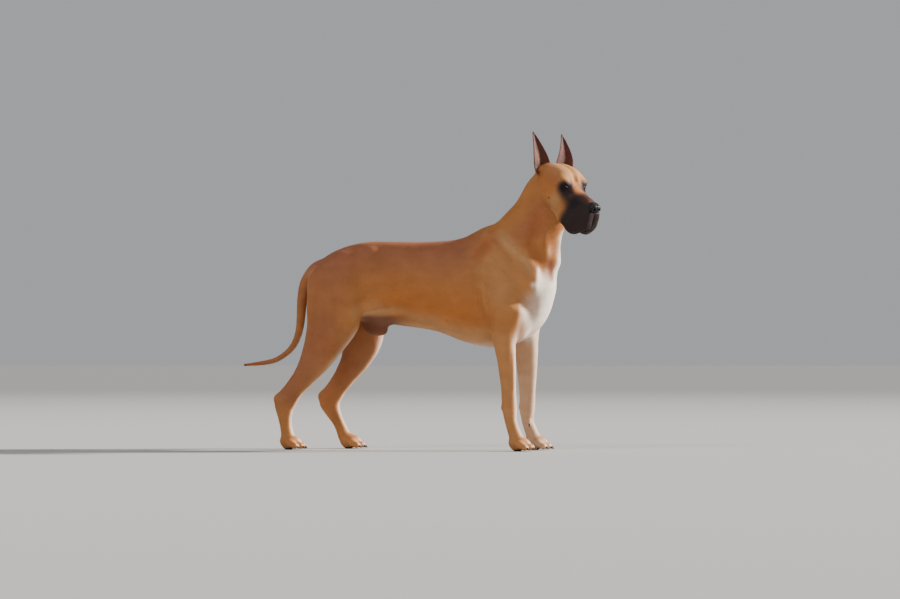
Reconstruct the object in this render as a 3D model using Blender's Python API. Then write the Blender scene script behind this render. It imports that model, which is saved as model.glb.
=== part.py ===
"""A standing Great Dane at life size, parted into named solids by thin cuts.

The dog faces +X with its left side at +Y, and the origin is on the floor below the middle of its box.
Sections are lofted along the back, neck, legs and tail, fused, shaped by soft strokes and then cut apart.
"""

import math

import bmesh
import bpy
import numpy as np
from mathutils import Matrix, Vector

# Driving dimensions, in metres.
GAP = 0.0003  # between faces that touch
VOXEL = 0.0034  # of the fused surface
FINE_TRIANGLES = 12400  # of the fused surface if it were all as fine as the head
TRIANGLES = 7000  # of the fused surface once thinned out
EAR_TRIANGLES = 620
NOSE_TRIANGLES = 420
RING = 40  # points round the torso
LIMB_RING = 20
EAR_RING = 14

# Trunk: x, top, bottom, half width, height of the widest line as a share of the depth.
TRUNK = (
    (-0.486, 0.690, 0.620, 0.034, 0.50),
    (-0.440, 0.751, 0.565, 0.066, 0.48),
    (-0.365, 0.791, 0.525, 0.090, 0.46),
    (-0.265, 0.816, 0.506, 0.095, 0.45),
    (-0.165, 0.818, 0.490, 0.090, 0.46),
    (-0.060, 0.815, 0.477, 0.101, 0.50),
    (0.040, 0.817, 0.459, 0.118, 0.52),
    (0.130, 0.827, 0.424, 0.127, 0.52),
    (0.210, 0.856, 0.402, 0.125, 0.52),
    (0.290, 0.880, 0.396, 0.115, 0.50),
    (0.370, 0.850, 0.420, 0.101, 0.47),
    (0.435, 0.800, 0.462, 0.090, 0.46),
    (0.480, 0.752, 0.526, 0.068, 0.46),
    (0.508, 0.712, 0.615, 0.034, 0.50),
)

# Limbs: x, y, z, radius across the limb in the side plane, radius towards the side.
NECK = (
    (0.265, 0.000, 0.690, 0.185, 0.090),
    (0.362, 0.000, 0.772, 0.159, 0.096),
    (0.409, -0.004, 0.848, 0.128, 0.085),
    (0.445, -0.010, 0.906, 0.111, 0.077),
    (0.469, -0.016, 0.959, 0.103, 0.075),
    (0.489, -0.024, 1.006, 0.095, 0.070),
    (0.505, -0.034, 1.045, 0.078, 0.062),
)
TAIL = (
    (-0.420, 0.000, 0.727, 0.030, 0.034),
    (-0.463, 0.000, 0.706, 0.034, 0.031),
    (-0.504, 0.000, 0.660, 0.0265, 0.025),
    (-0.522, 0.002, 0.592, 0.0215, 0.021),
    (-0.528, 0.004, 0.520, 0.0185, 0.0180),
    (-0.537, 0.006, 0.460, 0.0160, 0.0155),
    (-0.560, 0.008, 0.408, 0.0140, 0.0135),
    (-0.600, 0.009, 0.370, 0.0120, 0.0115),
    (-0.645, 0.008, 0.347, 0.0105, 0.010),
    (-0.705, 0.006, 0.337, 0.0085, 0.008),
    (-0.766, 0.004, 0.331, 0.0050, 0.005),
)
FORE_RIGHT = (
    (0.355, 0.100, 0.560, 0.068, 0.040),
    (0.330, 0.108, 0.485, 0.056, 0.039),
    (0.328, 0.106, 0.425, 0.048, 0.036),
    (0.334, 0.101, 0.365, 0.041, 0.0325),
    (0.339, 0.098, 0.295, 0.036, 0.0280),
    (0.343, 0.097, 0.225, 0.0325, 0.0245),
    (0.345, 0.096, 0.178, 0.0335, 0.0275),
    (0.347, 0.095, 0.148, 0.0315, 0.0275),
    (0.351, 0.096, 0.115, 0.0265, 0.0245),
    (0.363, 0.097, 0.078, 0.0265, 0.0255),
    (0.376, 0.098, 0.045, 0.0280, 0.0280),
)
FORE_LEFT = (
    (0.372, 0.100, 0.560, 0.070, 0.040),
    (0.360, 0.108, 0.485, 0.064, 0.039),
    (0.361, 0.106, 0.425, 0.056, 0.036),
    (0.366, 0.101, 0.365, 0.049, 0.0325),
    (0.369, 0.098, 0.295, 0.042, 0.0280),
    (0.370, 0.097, 0.225, 0.0360, 0.0245),
    (0.370, 0.096, 0.178, 0.0350, 0.0275),
    (0.370, 0.095, 0.148, 0.0325, 0.0275),
    (0.371, 0.096, 0.115, 0.0265, 0.0245),
    (0.383, 0.097, 0.078, 0.0265, 0.0255),
    (0.397, 0.098, 0.045, 0.0280, 0.0280),
)
HIND_RIGHT = (
    (-0.345, 0.070, 0.700, 0.095, 0.048),
    (-0.360, 0.082, 0.610, 0.116, 0.056),
    (-0.364, 0.089, 0.520, 0.117, 0.057),
    (-0.392, 0.094, 0.438, 0.091, 0.050),
    (-0.436, 0.099, 0.350, 0.066, 0.042),
    (-0.484, 0.097, 0.284, 0.0480, 0.032),
    (-0.529, 0.096, 0.230, 0.0430, 0.0265),
    (-0.561, 0.095, 0.184, 0.0480, 0.0275),
    (-0.563, 0.095, 0.140, 0.0350, 0.0250),
    (-0.559, 0.095, 0.098, 0.0265, 0.0225),
    (-0.548, 0.096, 0.045, 0.0270, 0.0260),
)
HIND_LEFT = (
    (-0.340, 0.070, 0.700, 0.095, 0.048),
    (-0.336, 0.082, 0.610, 0.114, 0.056),
    (-0.316, 0.089, 0.520, 0.113, 0.057),
    (-0.300, 0.094, 0.440, 0.088, 0.050),
    (-0.327, 0.099, 0.362, 0.066, 0.042),
    (-0.369, 0.097, 0.295, 0.0490, 0.032),
    (-0.411, 0.096, 0.236, 0.0445, 0.0265),
    (-0.438, 0.095, 0.192, 0.0485, 0.0275),
    (-0.424, 0.095, 0.146, 0.0345, 0.0250),
    (-0.398, 0.095, 0.100, 0.0255, 0.0225),
    (-0.374, 0.096, 0.045, 0.0265, 0.0260),
)

# Muscles as ellipsoids: centre, half lengths, tilt in the side plane in degrees.
MUSCLES = (
    ((0.300, 0.074, 0.750), (0.052, 0.030, 0.120), -32),  # shoulder blade
    ((0.415, 0.078, 0.648), (0.060, 0.040, 0.066), 0),  # point of the shoulder
    ((0.318, 0.092, 0.575), (0.082, 0.040, 0.082), 0),  # triceps
    ((0.433, 0.040, 0.565), (0.046, 0.042, 0.100), 12),  # breast muscle
    ((0.466, 0.012, 0.730), (0.070, 0.038, 0.048), -8),  # breastbone
    ((0.382, 0.068, 0.490), (0.044, 0.040, 0.070), 0),  # front of the arm
    ((-0.330, 0.058, 0.705), (0.100, 0.050, 0.080), -14),  # rump
    ((-0.425, 0.066, 0.640), (0.060, 0.048, 0.085), 0),  # buttock
    ((-0.205, 0.070, 0.562), (0.078, 0.032, 0.052), 0),  # flank
)
SHEATH = ((-0.220, 0.0, 0.474), (0.067, 0.021, 0.034), 8)
ELBOWS = {-1: (0.290, 0.112, 0.448), 1: (0.312, 0.112, 0.448)}
ELBOW = (0.022, 0.020, 0.028)  # half lengths

# Paws: x and y of the sole's middle, then the way the toes point in degrees towards the side.
PAWS = {
    "fore_right": (0.388, -0.098, 4),
    "fore_left": (0.410, 0.098, 4),
    "hind_right": (-0.536, -0.096, 4),
    "hind_left": (-0.348, 0.096, 4),
}
PAW_BALLS = (
    ((-0.014, 0.000, 0.034), (0.033, 0.030, 0.031)),
    ((0.004, 0.000, 0.030), (0.034, 0.036, 0.026)),
    ((-0.010, 0.000, 0.012), (0.026, 0.024, 0.013)),
)
TOES = (  # knuckle, tip and claw of an inner toe and an outer toe
    ((0.022, 0.0118, 0.0290), (0.042, 0.0120, 0.0165), (0.0565, 0.0120, 0.0125)),
    ((0.009, 0.0315, 0.0260), (0.028, 0.0330, 0.0155), (0.0420, 0.0335, 0.0115)),
)
KNUCKLE = (0.0200, 0.0125, 0.0165)  # half lengths
TOE_TIP = (0.0150, 0.0112, 0.0140)
CLAW = (0.0110, 0.0036, 0.0048)

# Head, in its own frame: the origin is at the stop, x runs to the nose, y to the left and z up.
STOP = (0.606, -0.104, 1.0055)
HEAD_TURN = math.radians(-37)  # towards the right side
HEAD_NOD = math.radians(22.5)
SKULL = (
    (-0.198, 0.008, -0.070, 0.032, 0.50),
    (-0.180, 0.037, -0.098, 0.054, 0.46),
    (-0.145, 0.056, -0.116, 0.069, 0.42),
    (-0.105, 0.063, -0.124, 0.076, 0.42),
    (-0.065, 0.063, -0.124, 0.078, 0.42),
    (-0.036, 0.056, -0.122, 0.074, 0.42),
    (-0.013, 0.035, -0.118, 0.064, 0.44),
    (0.010, 0.011, -0.116, 0.050, 0.50),
    (0.040, 0.003, -0.118, 0.0425, 0.56),
    (0.080, 0.001, -0.120, 0.0400, 0.58),
    (0.110, 0.000, -0.122, 0.0390, 0.58),
    (0.131, -0.004, -0.122, 0.0360, 0.56),
    (0.147, -0.014, -0.112, 0.0285, 0.54),
)
HEAD_MASSES = (
    ((0.067, 0.0290, -0.107), (0.066, 0.0190, 0.053), 2),  # flew
    ((0.108, 0.0215, -0.087), (0.042, 0.0225, 0.050), 0),  # whisker pad
    ((0.008, 0.033, -0.098), (0.046, 0.018, 0.043), 4),  # corner of the mouth
    ((-0.042, 0.044, 0.019), (0.047, 0.032, 0.026), 2),  # brow
    ((-0.032, 0.049, -0.016), (0.046, 0.022, 0.030), 0),  # below the eye
    ((0.020, 0.030, -0.022), (0.050, 0.015, 0.022), 6),  # side of the bridge
    ((-0.080, 0.053, -0.050), (0.060, 0.026, 0.050), 0),  # cheek
    ((-0.106, 0.042, 0.025), (0.064, 0.032, 0.030), 0),  # side of the crown
    ((-0.152, 0.052, 0.004), (0.026, 0.027, 0.042), 20),  # seat of the ear
)
JAW = (
    (-0.060, -0.092, -0.128, 0.030, 0.50),
    (-0.020, -0.090, -0.132, 0.031, 0.50),
    (0.035, -0.097, -0.140, 0.0275, 0.50),
    (0.080, -0.100, -0.143, 0.0245, 0.50),
    (0.110, -0.101, -0.143, 0.0230, 0.50),
    (0.127, -0.106, -0.138, 0.0180, 0.50),
    (0.136, -0.113, -0.131, 0.0100, 0.50),
)
EYE_RADIUS = 0.0135
EYE = (-0.0120, 0.0440, 0.0020)  # middle of the eyeball
EYE_OUT = math.radians(35)  # gaze, away from straight ahead
LID = 0.0034
OPENING = (0.0170, 0.0142, 0.0076)  # half lengths of the almond that is cut between the lids
OPENING_OUT = 0.0165  # of its middle, along the gaze
NOSE = ((0.1330, 0.0, -0.0260), (0.0190, 0.0240, 0.0165))
NOSE_WING = ((0.1355, 0.0135, -0.0295), (0.0180, 0.0135, 0.0140))
NOSTRIL = ((0.153, 0.0130, -0.0285), (0.011, 0.0046, 0.0056))
EAR_FOOT = {1: (-0.137, 0.0380, 0.010), -1: (-0.129, 0.057, 0.008)}  # of the left and the right ear
EAR_TIP = {1: (-0.244, 0.078, 0.143), -1: (-0.245, 0.067, 0.147)}
EAR_OPEN = {1: math.radians(-14), -1: math.radians(4)}  # the way the ear opens, away from straight ahead
EAR_WIDE = {1: 1.02, -1: 1.0}  # share of the widths below
EAR_WALL = 0.0046
EAR_EDGE = 0.22  # how far the ear's rim comes forward, as a share of the cup's depth
CUP_OUT = 0.03  # how far the cup's cutter stands out in front
EAR_BOW = 0.013  # of the middle, forwards
EAR_BULGE = {1: 0.011, -1: 0.000}  # of the middle of the ear, away from the head
EAR_SHAPE = (  # share of the length, half width, depth of the cup
    (-0.22, 0.004, 0.006),
    (-0.12, 0.019, 0.017),
    (0.02, 0.0310, 0.024),
    (0.15, 0.0375, 0.025),
    (0.30, 0.0380, 0.022),
    (0.50, 0.0315, 0.0175),
    (0.72, 0.0200, 0.0125),
    (0.87, 0.0112, 0.0090),
    (0.96, 0.0058, 0.0055),
    (1.00, 0.0030, 0.0032),
)

# Strokes and soft places.
STROKES = (  # points on the left side, reach, height
    (((0.235, 0.10, 0.80), (0.215, 0.13, 0.66), (0.265, 0.13, 0.47)), 0.030, -0.0045),  # behind the arm
    (((0.330, 0.11, 0.80), (0.410, 0.11, 0.66)), 0.026, 0.0030),  # spine of the shoulder blade
    (((0.400, 0.12, 0.61), (0.335, 0.13, 0.53)), 0.024, -0.0030),  # in front of the triceps
    (((-0.175, 0.10, 0.70), (-0.190, 0.12, 0.60), (-0.150, 0.11, 0.53)), 0.055, -0.0050),  # flank
    (((-0.430, 0.15, 0.62), (-0.440, 0.14, 0.50), (-0.455, 0.12, 0.40)), 0.028, -0.0035),  # ham
    (((-0.330, 0.13, 0.44), (-0.345, 0.12, 0.40)), 0.022, 0.0030),  # stifle
    (((0.480, 0.06, 0.88), (0.470, 0.06, 0.78), (0.500, 0.03, 0.70)), 0.024, 0.0035),  # neck muscle
    (((0.440, 0.07, 0.86), (0.440, 0.08, 0.76)), 0.024, -0.0035),  # furrow of the neck
    (((-0.235, 0.07, 0.515), (-0.185, 0.075, 0.528), (-0.105, 0.08, 0.520)), 0.034, -0.0100),  # groin
    (((-0.105, 0.08, 0.520), (-0.030, 0.085, 0.500), (0.030, 0.09, 0.485)), 0.034, -0.0050),  # side of the belly
    (((-0.250, 0.11, 0.535), (-0.195, 0.105, 0.556), (-0.13, 0.100, 0.552)), 0.022, 0.0020),  # flank fold
)
HEAD_STROKES = (  # points, reach, height, sides
    (((-0.150, 0.0, 0.050), (-0.020, 0.0, 0.030)), 0.020, -0.0030, (1,)),  # furrow of the forehead
    (((-0.012, 0.020, 0.000), (0.010, 0.030, -0.020)), 0.016, -0.0030, (1, -1)),  # inner corner of the eye
    (((-0.045, 0.060, 0.010), (-0.090, 0.075, 0.000)), 0.024, -0.0040, (1, -1)),  # temple
    (((0.010, 0.046, -0.036), (0.070, 0.045, -0.050)), 0.024, -0.0022, (1, -1)),  # below the cheekbone
    (((0.153, 0.0, -0.045), (0.140, 0.0, -0.110)), 0.007, -0.0030, (1,)),  # groove below the nose
)
SOFT_SPOTS = (  # x, y, z and reach, on the left side: one mass runs into the next
    (0.22, 0.11, 0.56, 0.13),
    (0.38, 0.09, 0.72, 0.14),
    (0.30, 0.06, 0.82, 0.15),
    (0.46, 0.04, 0.70, 0.13),
    (0.46, 0.06, 0.56, 0.13),
    (0.40, 0.07, 0.46, 0.11),
    (-0.22, 0.11, 0.60, 0.15),
    (-0.18, 0.07, 0.52, 0.11),
    (-0.38, 0.04, 0.70, 0.16),
    (-0.46, 0.06, 0.60, 0.12),
    (-0.40, 0.09, 0.52, 0.10),
)

# Cuts.
LEG_CUTS = {
    "fore": (("fore_paw", -0.05, 0.056), ("fore_pastern", 0.056, 0.165), ("forearm", 0.165, 0.402)),
    "hind": (
        ("hind_paw", -0.05, 0.056),
        ("hind_pastern", 0.056, 0.215),
        ("shank", 0.215, 0.395),
    ),
}
THIGH_CUT = (-0.195, 0.0, 0.497)  # where the top of the thigh's cut meets the flank
THIGH_SLOPE = 19  # of that cut, in degrees, up towards the tail
THIGH_INSIDE = 0.030
LEG_CUT_INSIDE = {
    "fore_paw": 0.02,
    "fore_pastern": 0.02,
    "forearm": 0.052,
    "hind_paw": 0.02,
    "hind_pastern": 0.02,
    "shank": 0.02,
}

# Materials.
COLOURS = {  # base colour and roughness
    "fawn": ((0.50, 0.26, 0.11), 0.62),
    "cream": ((0.66, 0.47, 0.29), 0.62),
    "mask": ((0.045, 0.036, 0.034), 0.55),
    "ear_brown": ((0.14, 0.055, 0.030), 0.60),
    "nose_leather": ((0.012, 0.011, 0.012), 0.38),
    "eye_brown": ((0.050, 0.022, 0.010), 0.10),
}
PLAIN_SLOTS = {
    "jaw": "mask",
    "nose": "nose_leather",
    "eye_left": "eye_brown",
    "eye_right": "eye_brown",
    "ear_left": "ear_brown",
    "ear_right": "ear_brown",
    "chest": "fawn",
    "forearm_left": "cream",
    "hind_pastern_left": "cream",
    "shank_left": "cream",
}
SHARP = math.radians(50)


def clear_scene():
    for item in list(bpy.data.objects):
        bpy.data.objects.remove(item)


def material(name, colour, roughness, metallic=0.0):
    made = bpy.data.materials.new(name)
    made.use_nodes = True
    shader = made.node_tree.nodes["Principled BSDF"]
    shader.inputs["Base Color"].default_value = (*colour, 1.0)
    shader.inputs["Roughness"].default_value = roughness
    shader.inputs["Metallic"].default_value = metallic
    return made


def spline(rows, steps):
    """The rows of numbers resampled along a Catmull-Rom curve, with this many steps to each span."""
    rows = np.array(rows, float)
    ends = np.vstack([2 * rows[0] - rows[1], rows, 2 * rows[-1] - rows[-2]])
    out = []
    for a, b, c, d in zip(ends, ends[1:], ends[2:], ends[3:]):
        for t in np.arange(steps) / steps:
            square = 2 * a - 5 * b + 4 * c - d
            cube = 3 * b - a - 3 * c + d
            out.append(0.5 * (2 * b + (c - a) * t + square * t**2 + cube * t**3))
    return np.array(out + [rows[-1]])


def loft(rings):
    """A closed mesh through rings of points."""
    bm = bmesh.new()
    loops = [[bm.verts.new(point) for point in ring] for ring in rings]
    for near, far in zip(loops, loops[1:]):
        for i in range(len(near)):
            j = (i + 1) % len(near)
            bm.faces.new((near[i], near[j], far[j], far[i]))
    bm.faces.new(loops[0][::-1])
    bm.faces.new(loops[-1])
    bmesh.ops.recalc_face_normals(bm, faces=bm.faces)
    mesh = bpy.data.meshes.new("loft")
    bm.to_mesh(mesh)
    bm.free()
    return mesh


def egg_rings(stations, count, square=0.88, steps=4):
    """Upright egg-shaped rings along x: top, bottom, half width and the height of the widest line."""
    rings = []
    for x, top, bottom, width, widest in spline(stations, steps):
        bend = math.log(widest) / math.log(0.5)
        ring = []
        for i in range(count):
            turn = 2 * math.pi * i / count
            down = ((1 - math.cos(turn)) / 2) ** bend
            side = math.copysign(abs(math.sin(turn)) ** square, math.sin(turn))
            ring.append((x, width * side, top + (bottom - top) * down))
        rings.append(ring)
    return rings


def limb_rings(stations, side=1, count=LIMB_RING, steps=4):
    """Oval rings square to a path of (x, y, z, radius in the side plane, radius to the side)."""
    path = spline(stations, steps)
    path[:, 1] *= side
    rings = []
    for i, (x, y, z, deep, wide) in enumerate(path):
        along = Vector(path[min(i + 1, len(path) - 1)][:3] - path[max(i - 1, 0)][:3]).normalized()
        across = Vector((0, 1, 0))
        across = (across - along * across.dot(along)).normalized()
        front = along.cross(across)
        ring = []
        for k in range(count):
            turn = 2 * math.pi * k / count
            ring.append(Vector((x, y, z)) + front * deep * math.cos(turn) + across * wide * math.sin(turn))
        rings.append(ring)
    return rings


def ellipsoid(centre, radii, tilt=0.0, side=1, detail=24, square=1.0):
    """A ball stretched to three half lengths; a square power below 1 fills its corners."""
    bm = bmesh.new()
    place = (
        Matrix.Translation((centre[0], centre[1] * side, centre[2]))
        @ Matrix.Rotation(math.radians(tilt), 4, "Y")
        @ Matrix.Diagonal((*radii, 1.0))
    )
    bmesh.ops.create_uvsphere(bm, u_segments=detail, v_segments=detail // 2, radius=1.0)
    for vert in bm.verts:
        vert.co = [math.copysign(abs(value) ** square, value) for value in vert.co]
    bmesh.ops.transform(bm, matrix=place, verts=bm.verts)
    mesh = bpy.data.meshes.new("ellipsoid")
    bm.to_mesh(mesh)
    bm.free()
    return mesh


def add_object(name, mesh):
    made = bpy.data.objects.new(name, mesh)
    bpy.context.scene.collection.objects.link(made)
    return made


def bake(obj):
    """Replaces the object's mesh by its evaluated one and drops the modifiers."""
    graph = bpy.context.evaluated_depsgraph_get()
    mesh = bpy.data.meshes.new_from_object(obj.evaluated_get(graph))
    obj.modifiers.clear()
    obj.data = mesh
    return obj


def fuse(name, pieces, voxel):
    """One closed surface round overlapping meshes."""
    bm = bmesh.new()
    for piece in pieces:
        bm.from_mesh(piece)
    mesh = bpy.data.meshes.new(name)
    bm.to_mesh(mesh)
    bm.free()
    made = add_object(name, mesh)
    remesh = made.modifiers.new("Fuse", "REMESH")
    remesh.mode = "VOXEL"
    remesh.voxel_size = voxel
    return bake(made)


class Clay:
    """A mesh's points held for soft sculpting strokes."""

    def __init__(self, obj):
        self.mesh = obj.data
        count = len(self.mesh.vertices)
        self.points = np.empty(count * 3, np.float32)
        self.mesh.vertices.foreach_get("co", self.points)
        self.points = self.points.reshape(-1, 3).astype(float)
        ends = np.empty(len(self.mesh.edges) * 2, np.int32)
        self.mesh.edges.foreach_get("vertices", ends)
        self.ends = ends.reshape(-1, 2)
        self.near = np.bincount(self.ends.ravel(), minlength=count)[:, None]

    def relax(self, rounds, weight=1.0):
        """Smooths the points, all alike or by a weight for each one."""
        a, b = self.ends.T
        weight = np.broadcast_to(np.asarray(weight, float).reshape(-1, 1), (len(self.points), 1))
        for _ in range(rounds):
            total = np.stack(
                [
                    np.bincount(a, self.points[b, k], len(self.points))
                    + np.bincount(b, self.points[a, k], len(self.points))
                    for k in range(3)
                ],
                1,
            )
            self.points += 0.5 * weight * (total / self.near - self.points)

    def share(self, spots, reach):
        """How near each point is to a line through the spots: 1 on it, 0 at the reach."""
        spots = np.atleast_2d(np.array(spots, float))
        least = np.full(len(self.points), np.inf)
        if len(spots) == 1:
            least = np.linalg.norm(self.points - spots[0], axis=1)
        for a, b in zip(spots, spots[1:]):
            run = b - a
            t = np.clip((self.points - a) @ run / (run @ run), 0, 1)
            least = np.minimum(least, np.linalg.norm(self.points - a - t[:, None] * run, axis=1))
        return np.clip(1 - (least / reach) ** 2, 0, 1) ** 2

    def stroke(self, spots, reach, height, both=True):
        """Raises a soft ridge along the spots, or a groove where height is negative."""
        for side in (1, -1) if both else (1,):
            mirrored = np.atleast_2d(np.array(spots, float)) * (1, side, 1)
            self.points += self.normals() * (self.share(mirrored, reach) * height)[:, None]

    def normals(self):
        self.write()
        found = np.empty(len(self.points) * 3, np.float32)
        self.mesh.vertex_normals.foreach_get("vector", found)
        return found.reshape(-1, 3)

    def write(self):
        self.mesh.vertices.foreach_set("co", self.points.astype(np.float32).ravel())
        self.mesh.update()


def thin_out(obj, triangles):
    """Decimates to about this many triangles."""
    obj.data.calc_loop_triangles()
    fewer = obj.modifiers.new("Thin", "DECIMATE")
    fewer.ratio = triangles / len(obj.data.loop_triangles)
    fewer.use_collapse_triangulate = True
    return bake(obj)


def boolean(obj, cutter, operation):
    cut = obj.modifiers.new("Cut", "BOOLEAN")
    cut.operation = operation
    cut.object = cutter
    cut.solver = "EXACT"
    return bake(obj)


def keep_largest(obj):
    """Drops loose scraps that a cut leaves."""
    bm = bmesh.new()
    bm.from_mesh(obj.data)
    left, islands = set(bm.verts), []
    while left:
        grown, edge = set(), [left.pop()]
        while edge:
            vert = edge.pop()
            grown.add(vert)
            for link in vert.link_edges:
                other = link.other_vert(vert)
                if other in left:
                    left.discard(other)
                    edge.append(other)
        islands.append(grown)
    islands.sort(key=len)
    scraps = [vert for island in islands[:-1] for vert in island]
    bmesh.ops.delete(bm, geom=scraps, context="VERTS")
    bm.to_mesh(obj.data)
    bm.free()
    return obj


def box_cutter(low, high, place=None):
    """A box between two corners, moved by a matrix."""
    bm = bmesh.new()
    bmesh.ops.create_cube(bm, size=1.0)
    size = Vector(high) - Vector(low)
    middle = (Vector(high) + Vector(low)) / 2
    bmesh.ops.scale(bm, vec=size, verts=bm.verts)
    bmesh.ops.translate(bm, vec=middle, verts=bm.verts)
    bmesh.ops.transform(bm, matrix=place or Matrix.Identity(4), verts=bm.verts)
    mesh = bpy.data.meshes.new("cutter")
    bm.to_mesh(mesh)
    bm.free()
    return add_object("cutter", mesh)


def cut_off(obj, name, low, high, place=None):
    """Takes the part of obj inside a box off as a node of its own and leaves a thin gap."""
    piece = add_object(name, obj.data.copy())
    cutter = box_cutter(low, high, place)
    boolean(piece, cutter, "INTERSECT")
    bpy.data.objects.remove(cutter)
    wider = box_cutter(Vector(low) - Vector((GAP,) * 3), Vector(high) + Vector((GAP,) * 3), place)
    boolean(obj, wider, "DIFFERENCE")
    bpy.data.objects.remove(wider)
    keep_largest(obj)
    return keep_largest(piece)


def swollen(obj, by):
    """A copy with every point moved out along its normal."""
    copy = add_object("swollen", obj.data.copy())
    clay = Clay(copy)
    clay.points = clay.points + clay.normals() * by
    clay.write()
    return copy


def clear_of(obj, neighbour):
    """Cuts the neighbour's shape out of obj and leaves a thin gap."""
    cutter = swollen(neighbour, GAP * 1.2)
    boolean(obj, cutter, "DIFFERENCE")
    bpy.data.objects.remove(cutter)
    return keep_largest(obj)


def head_frame():
    return Matrix.Translation(STOP) @ Matrix.Rotation(HEAD_TURN, 4, "Z") @ Matrix.Rotation(HEAD_NOD, 4, "Y")


def placed(mesh, place):
    mesh.transform(place)
    return mesh


def head_pieces():
    """The skull with its flesh, and the bulges of the closed lids round the eyes."""
    pieces = [loft(egg_rings(SKULL, 40, 0.72))]
    for side in (1, -1):
        pieces += [ellipsoid(centre, radii, tilt, side) for centre, radii, tilt in HEAD_MASSES]
        pieces.append(ellipsoid(EYE, (EYE_RADIUS + LID,) * 3, 0.0, side))
    return [placed(piece, head_frame()) for piece in pieces]


def paw_frame(name):
    x, y, turn = PAWS[name]
    side = 1 if y > 0 else -1
    return Matrix.Translation((x, y, 0.0)) @ Matrix.Rotation(math.radians(turn * side), 4, "Z")


def paw_pieces(name):
    """The ball of the paw and its four toes."""
    pieces = [ellipsoid(centre, radii) for centre, radii in PAW_BALLS]
    for side in (1, -1):
        for knuckle, tip, _ in TOES:
            pieces.append(ellipsoid(knuckle, KNUCKLE, 28, side, 16))
            pieces.append(ellipsoid(tip, TOE_TIP, 20, side, 16))
    return [placed(piece, paw_frame(name)) for piece in pieces]


def fused_flesh():
    """Trunk, neck, head, legs and paws in one surface."""
    pieces = [loft(egg_rings(TRUNK, RING)), loft(limb_rings(NECK, count=RING)), ellipsoid(*SHEATH)]
    for side in (1, -1):
        pieces.append(loft(limb_rings(FORE_LEFT if side > 0 else FORE_RIGHT, side)))
        pieces.append(loft(limb_rings(HIND_LEFT if side > 0 else HIND_RIGHT, side)))
        pieces += [ellipsoid(centre, radii, tilt, side) for centre, radii, tilt in MUSCLES]
    for side, elbow in ELBOWS.items():
        pieces.append(ellipsoid(elbow, ELBOW, 0, side))
    pieces += head_pieces()
    for name in PAWS:
        pieces += paw_pieces(name)
    return fuse("flesh", pieces, VOXEL)


def region(clay, centre, reach):
    """1 well inside the reach of a point, falling to 0 at its edge."""
    far = np.linalg.norm(clay.points - np.array(centre), axis=1) / reach
    return np.clip(2.0 - 2.0 * far, 0, 1)


def fine_parts(clay):
    """1 on the head and the paws, 0 on the large plain forms."""
    fine = region(clay, head_frame() @ Vector((-0.01, 0, -0.03)), 0.30)
    for x, y, _ in PAWS.values():
        fine = np.maximum(fine, region(clay, (x, y, 0.0), 0.13))
    return np.clip(fine, 0, 1)


def shape_flesh(flesh):
    clay = Clay(flesh)
    fine = fine_parts(clay)
    clay.relax(4)
    clay.relax(34, 1 - fine)
    clay.relax(26, region(clay, head_frame() @ Vector((-0.03, 0, -0.03)), 0.30))
    soft = sum(clay.share([(x, y, z)], reach) for x, y, z, reach in soft_spots())
    clay.relax(90, np.clip(soft, 0, 1) * (1 - fine))
    for spots, reach, height in STROKES:
        clay.stroke(spots, reach, height)
    clay.relax(16, 1 - fine)
    sculpt_head(clay)
    clay.write()
    return fine


def soft_spots():
    """Places where one mass runs into the next without an edge."""
    return [(x, y * side, z, reach) for side in (1, -1) for x, y, z, reach in SOFT_SPOTS]


def sculpt_head(clay):
    """Strokes in the head's own frame."""
    for spots, reach, height, sides in HEAD_STROKES:
        for side in sides:
            world = [tuple(head_frame() @ Vector((x, y * side, z))) for x, y, z in spots]
            clay.stroke(world, reach, height, False)


def thin_out_flesh(flesh, fine):
    """Decimates the flesh, and then once more away from the head and the paws."""
    group = flesh.vertex_groups.new(name="plain")
    for level in range(11):
        chosen = np.flatnonzero(np.rint(fine * 10) == level).tolist()
        group.add(chosen, 1 - level / 10, "REPLACE")
    thin_out(flesh, FINE_TRIANGLES)
    flesh.data.calc_loop_triangles()
    fewer = flesh.modifiers.new("Thin", "DECIMATE")
    fewer.ratio = TRIANGLES / len(flesh.data.loop_triangles)
    fewer.vertex_group = "plain"
    fewer.vertex_group_factor = 1.0
    fewer.use_collapse_triangulate = True
    return bake(flesh)


def add_claws(flesh):
    """Sinks a claw into each toe and fuses it."""
    for name in PAWS:
        for side in (1, -1):
            for _, _, claw in TOES:
                mesh = placed(ellipsoid(claw, CLAW, 24, side, 8), paw_frame(name))
                cutter = add_object("claw", mesh)
                boolean(flesh, cutter, "UNION")
                bpy.data.objects.remove(cutter)
    return flesh


def eye_gaze(side):
    return Vector((math.cos(EYE_OUT), math.sin(EYE_OUT) * side, 0.0))


def open_lids(head, side):
    """Cuts the almond between the lids."""
    gaze = eye_gaze(side)
    turn = math.atan2(gaze.y, gaze.x)
    middle = Vector((EYE[0], EYE[1] * side, EYE[2])) + gaze * OPENING_OUT
    place = head_frame() @ Matrix.Translation(middle) @ Matrix.Rotation(turn, 4, "Z")
    cutter = add_object("almond", placed(ellipsoid((0, 0, 0), OPENING), place))
    boolean(head, cutter, "DIFFERENCE")
    bpy.data.objects.remove(cutter)


def eye(name, side):
    return add_object(name, placed(ellipsoid(EYE, (EYE_RADIUS,) * 3, 0.0, side, 20), head_frame()))


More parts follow.
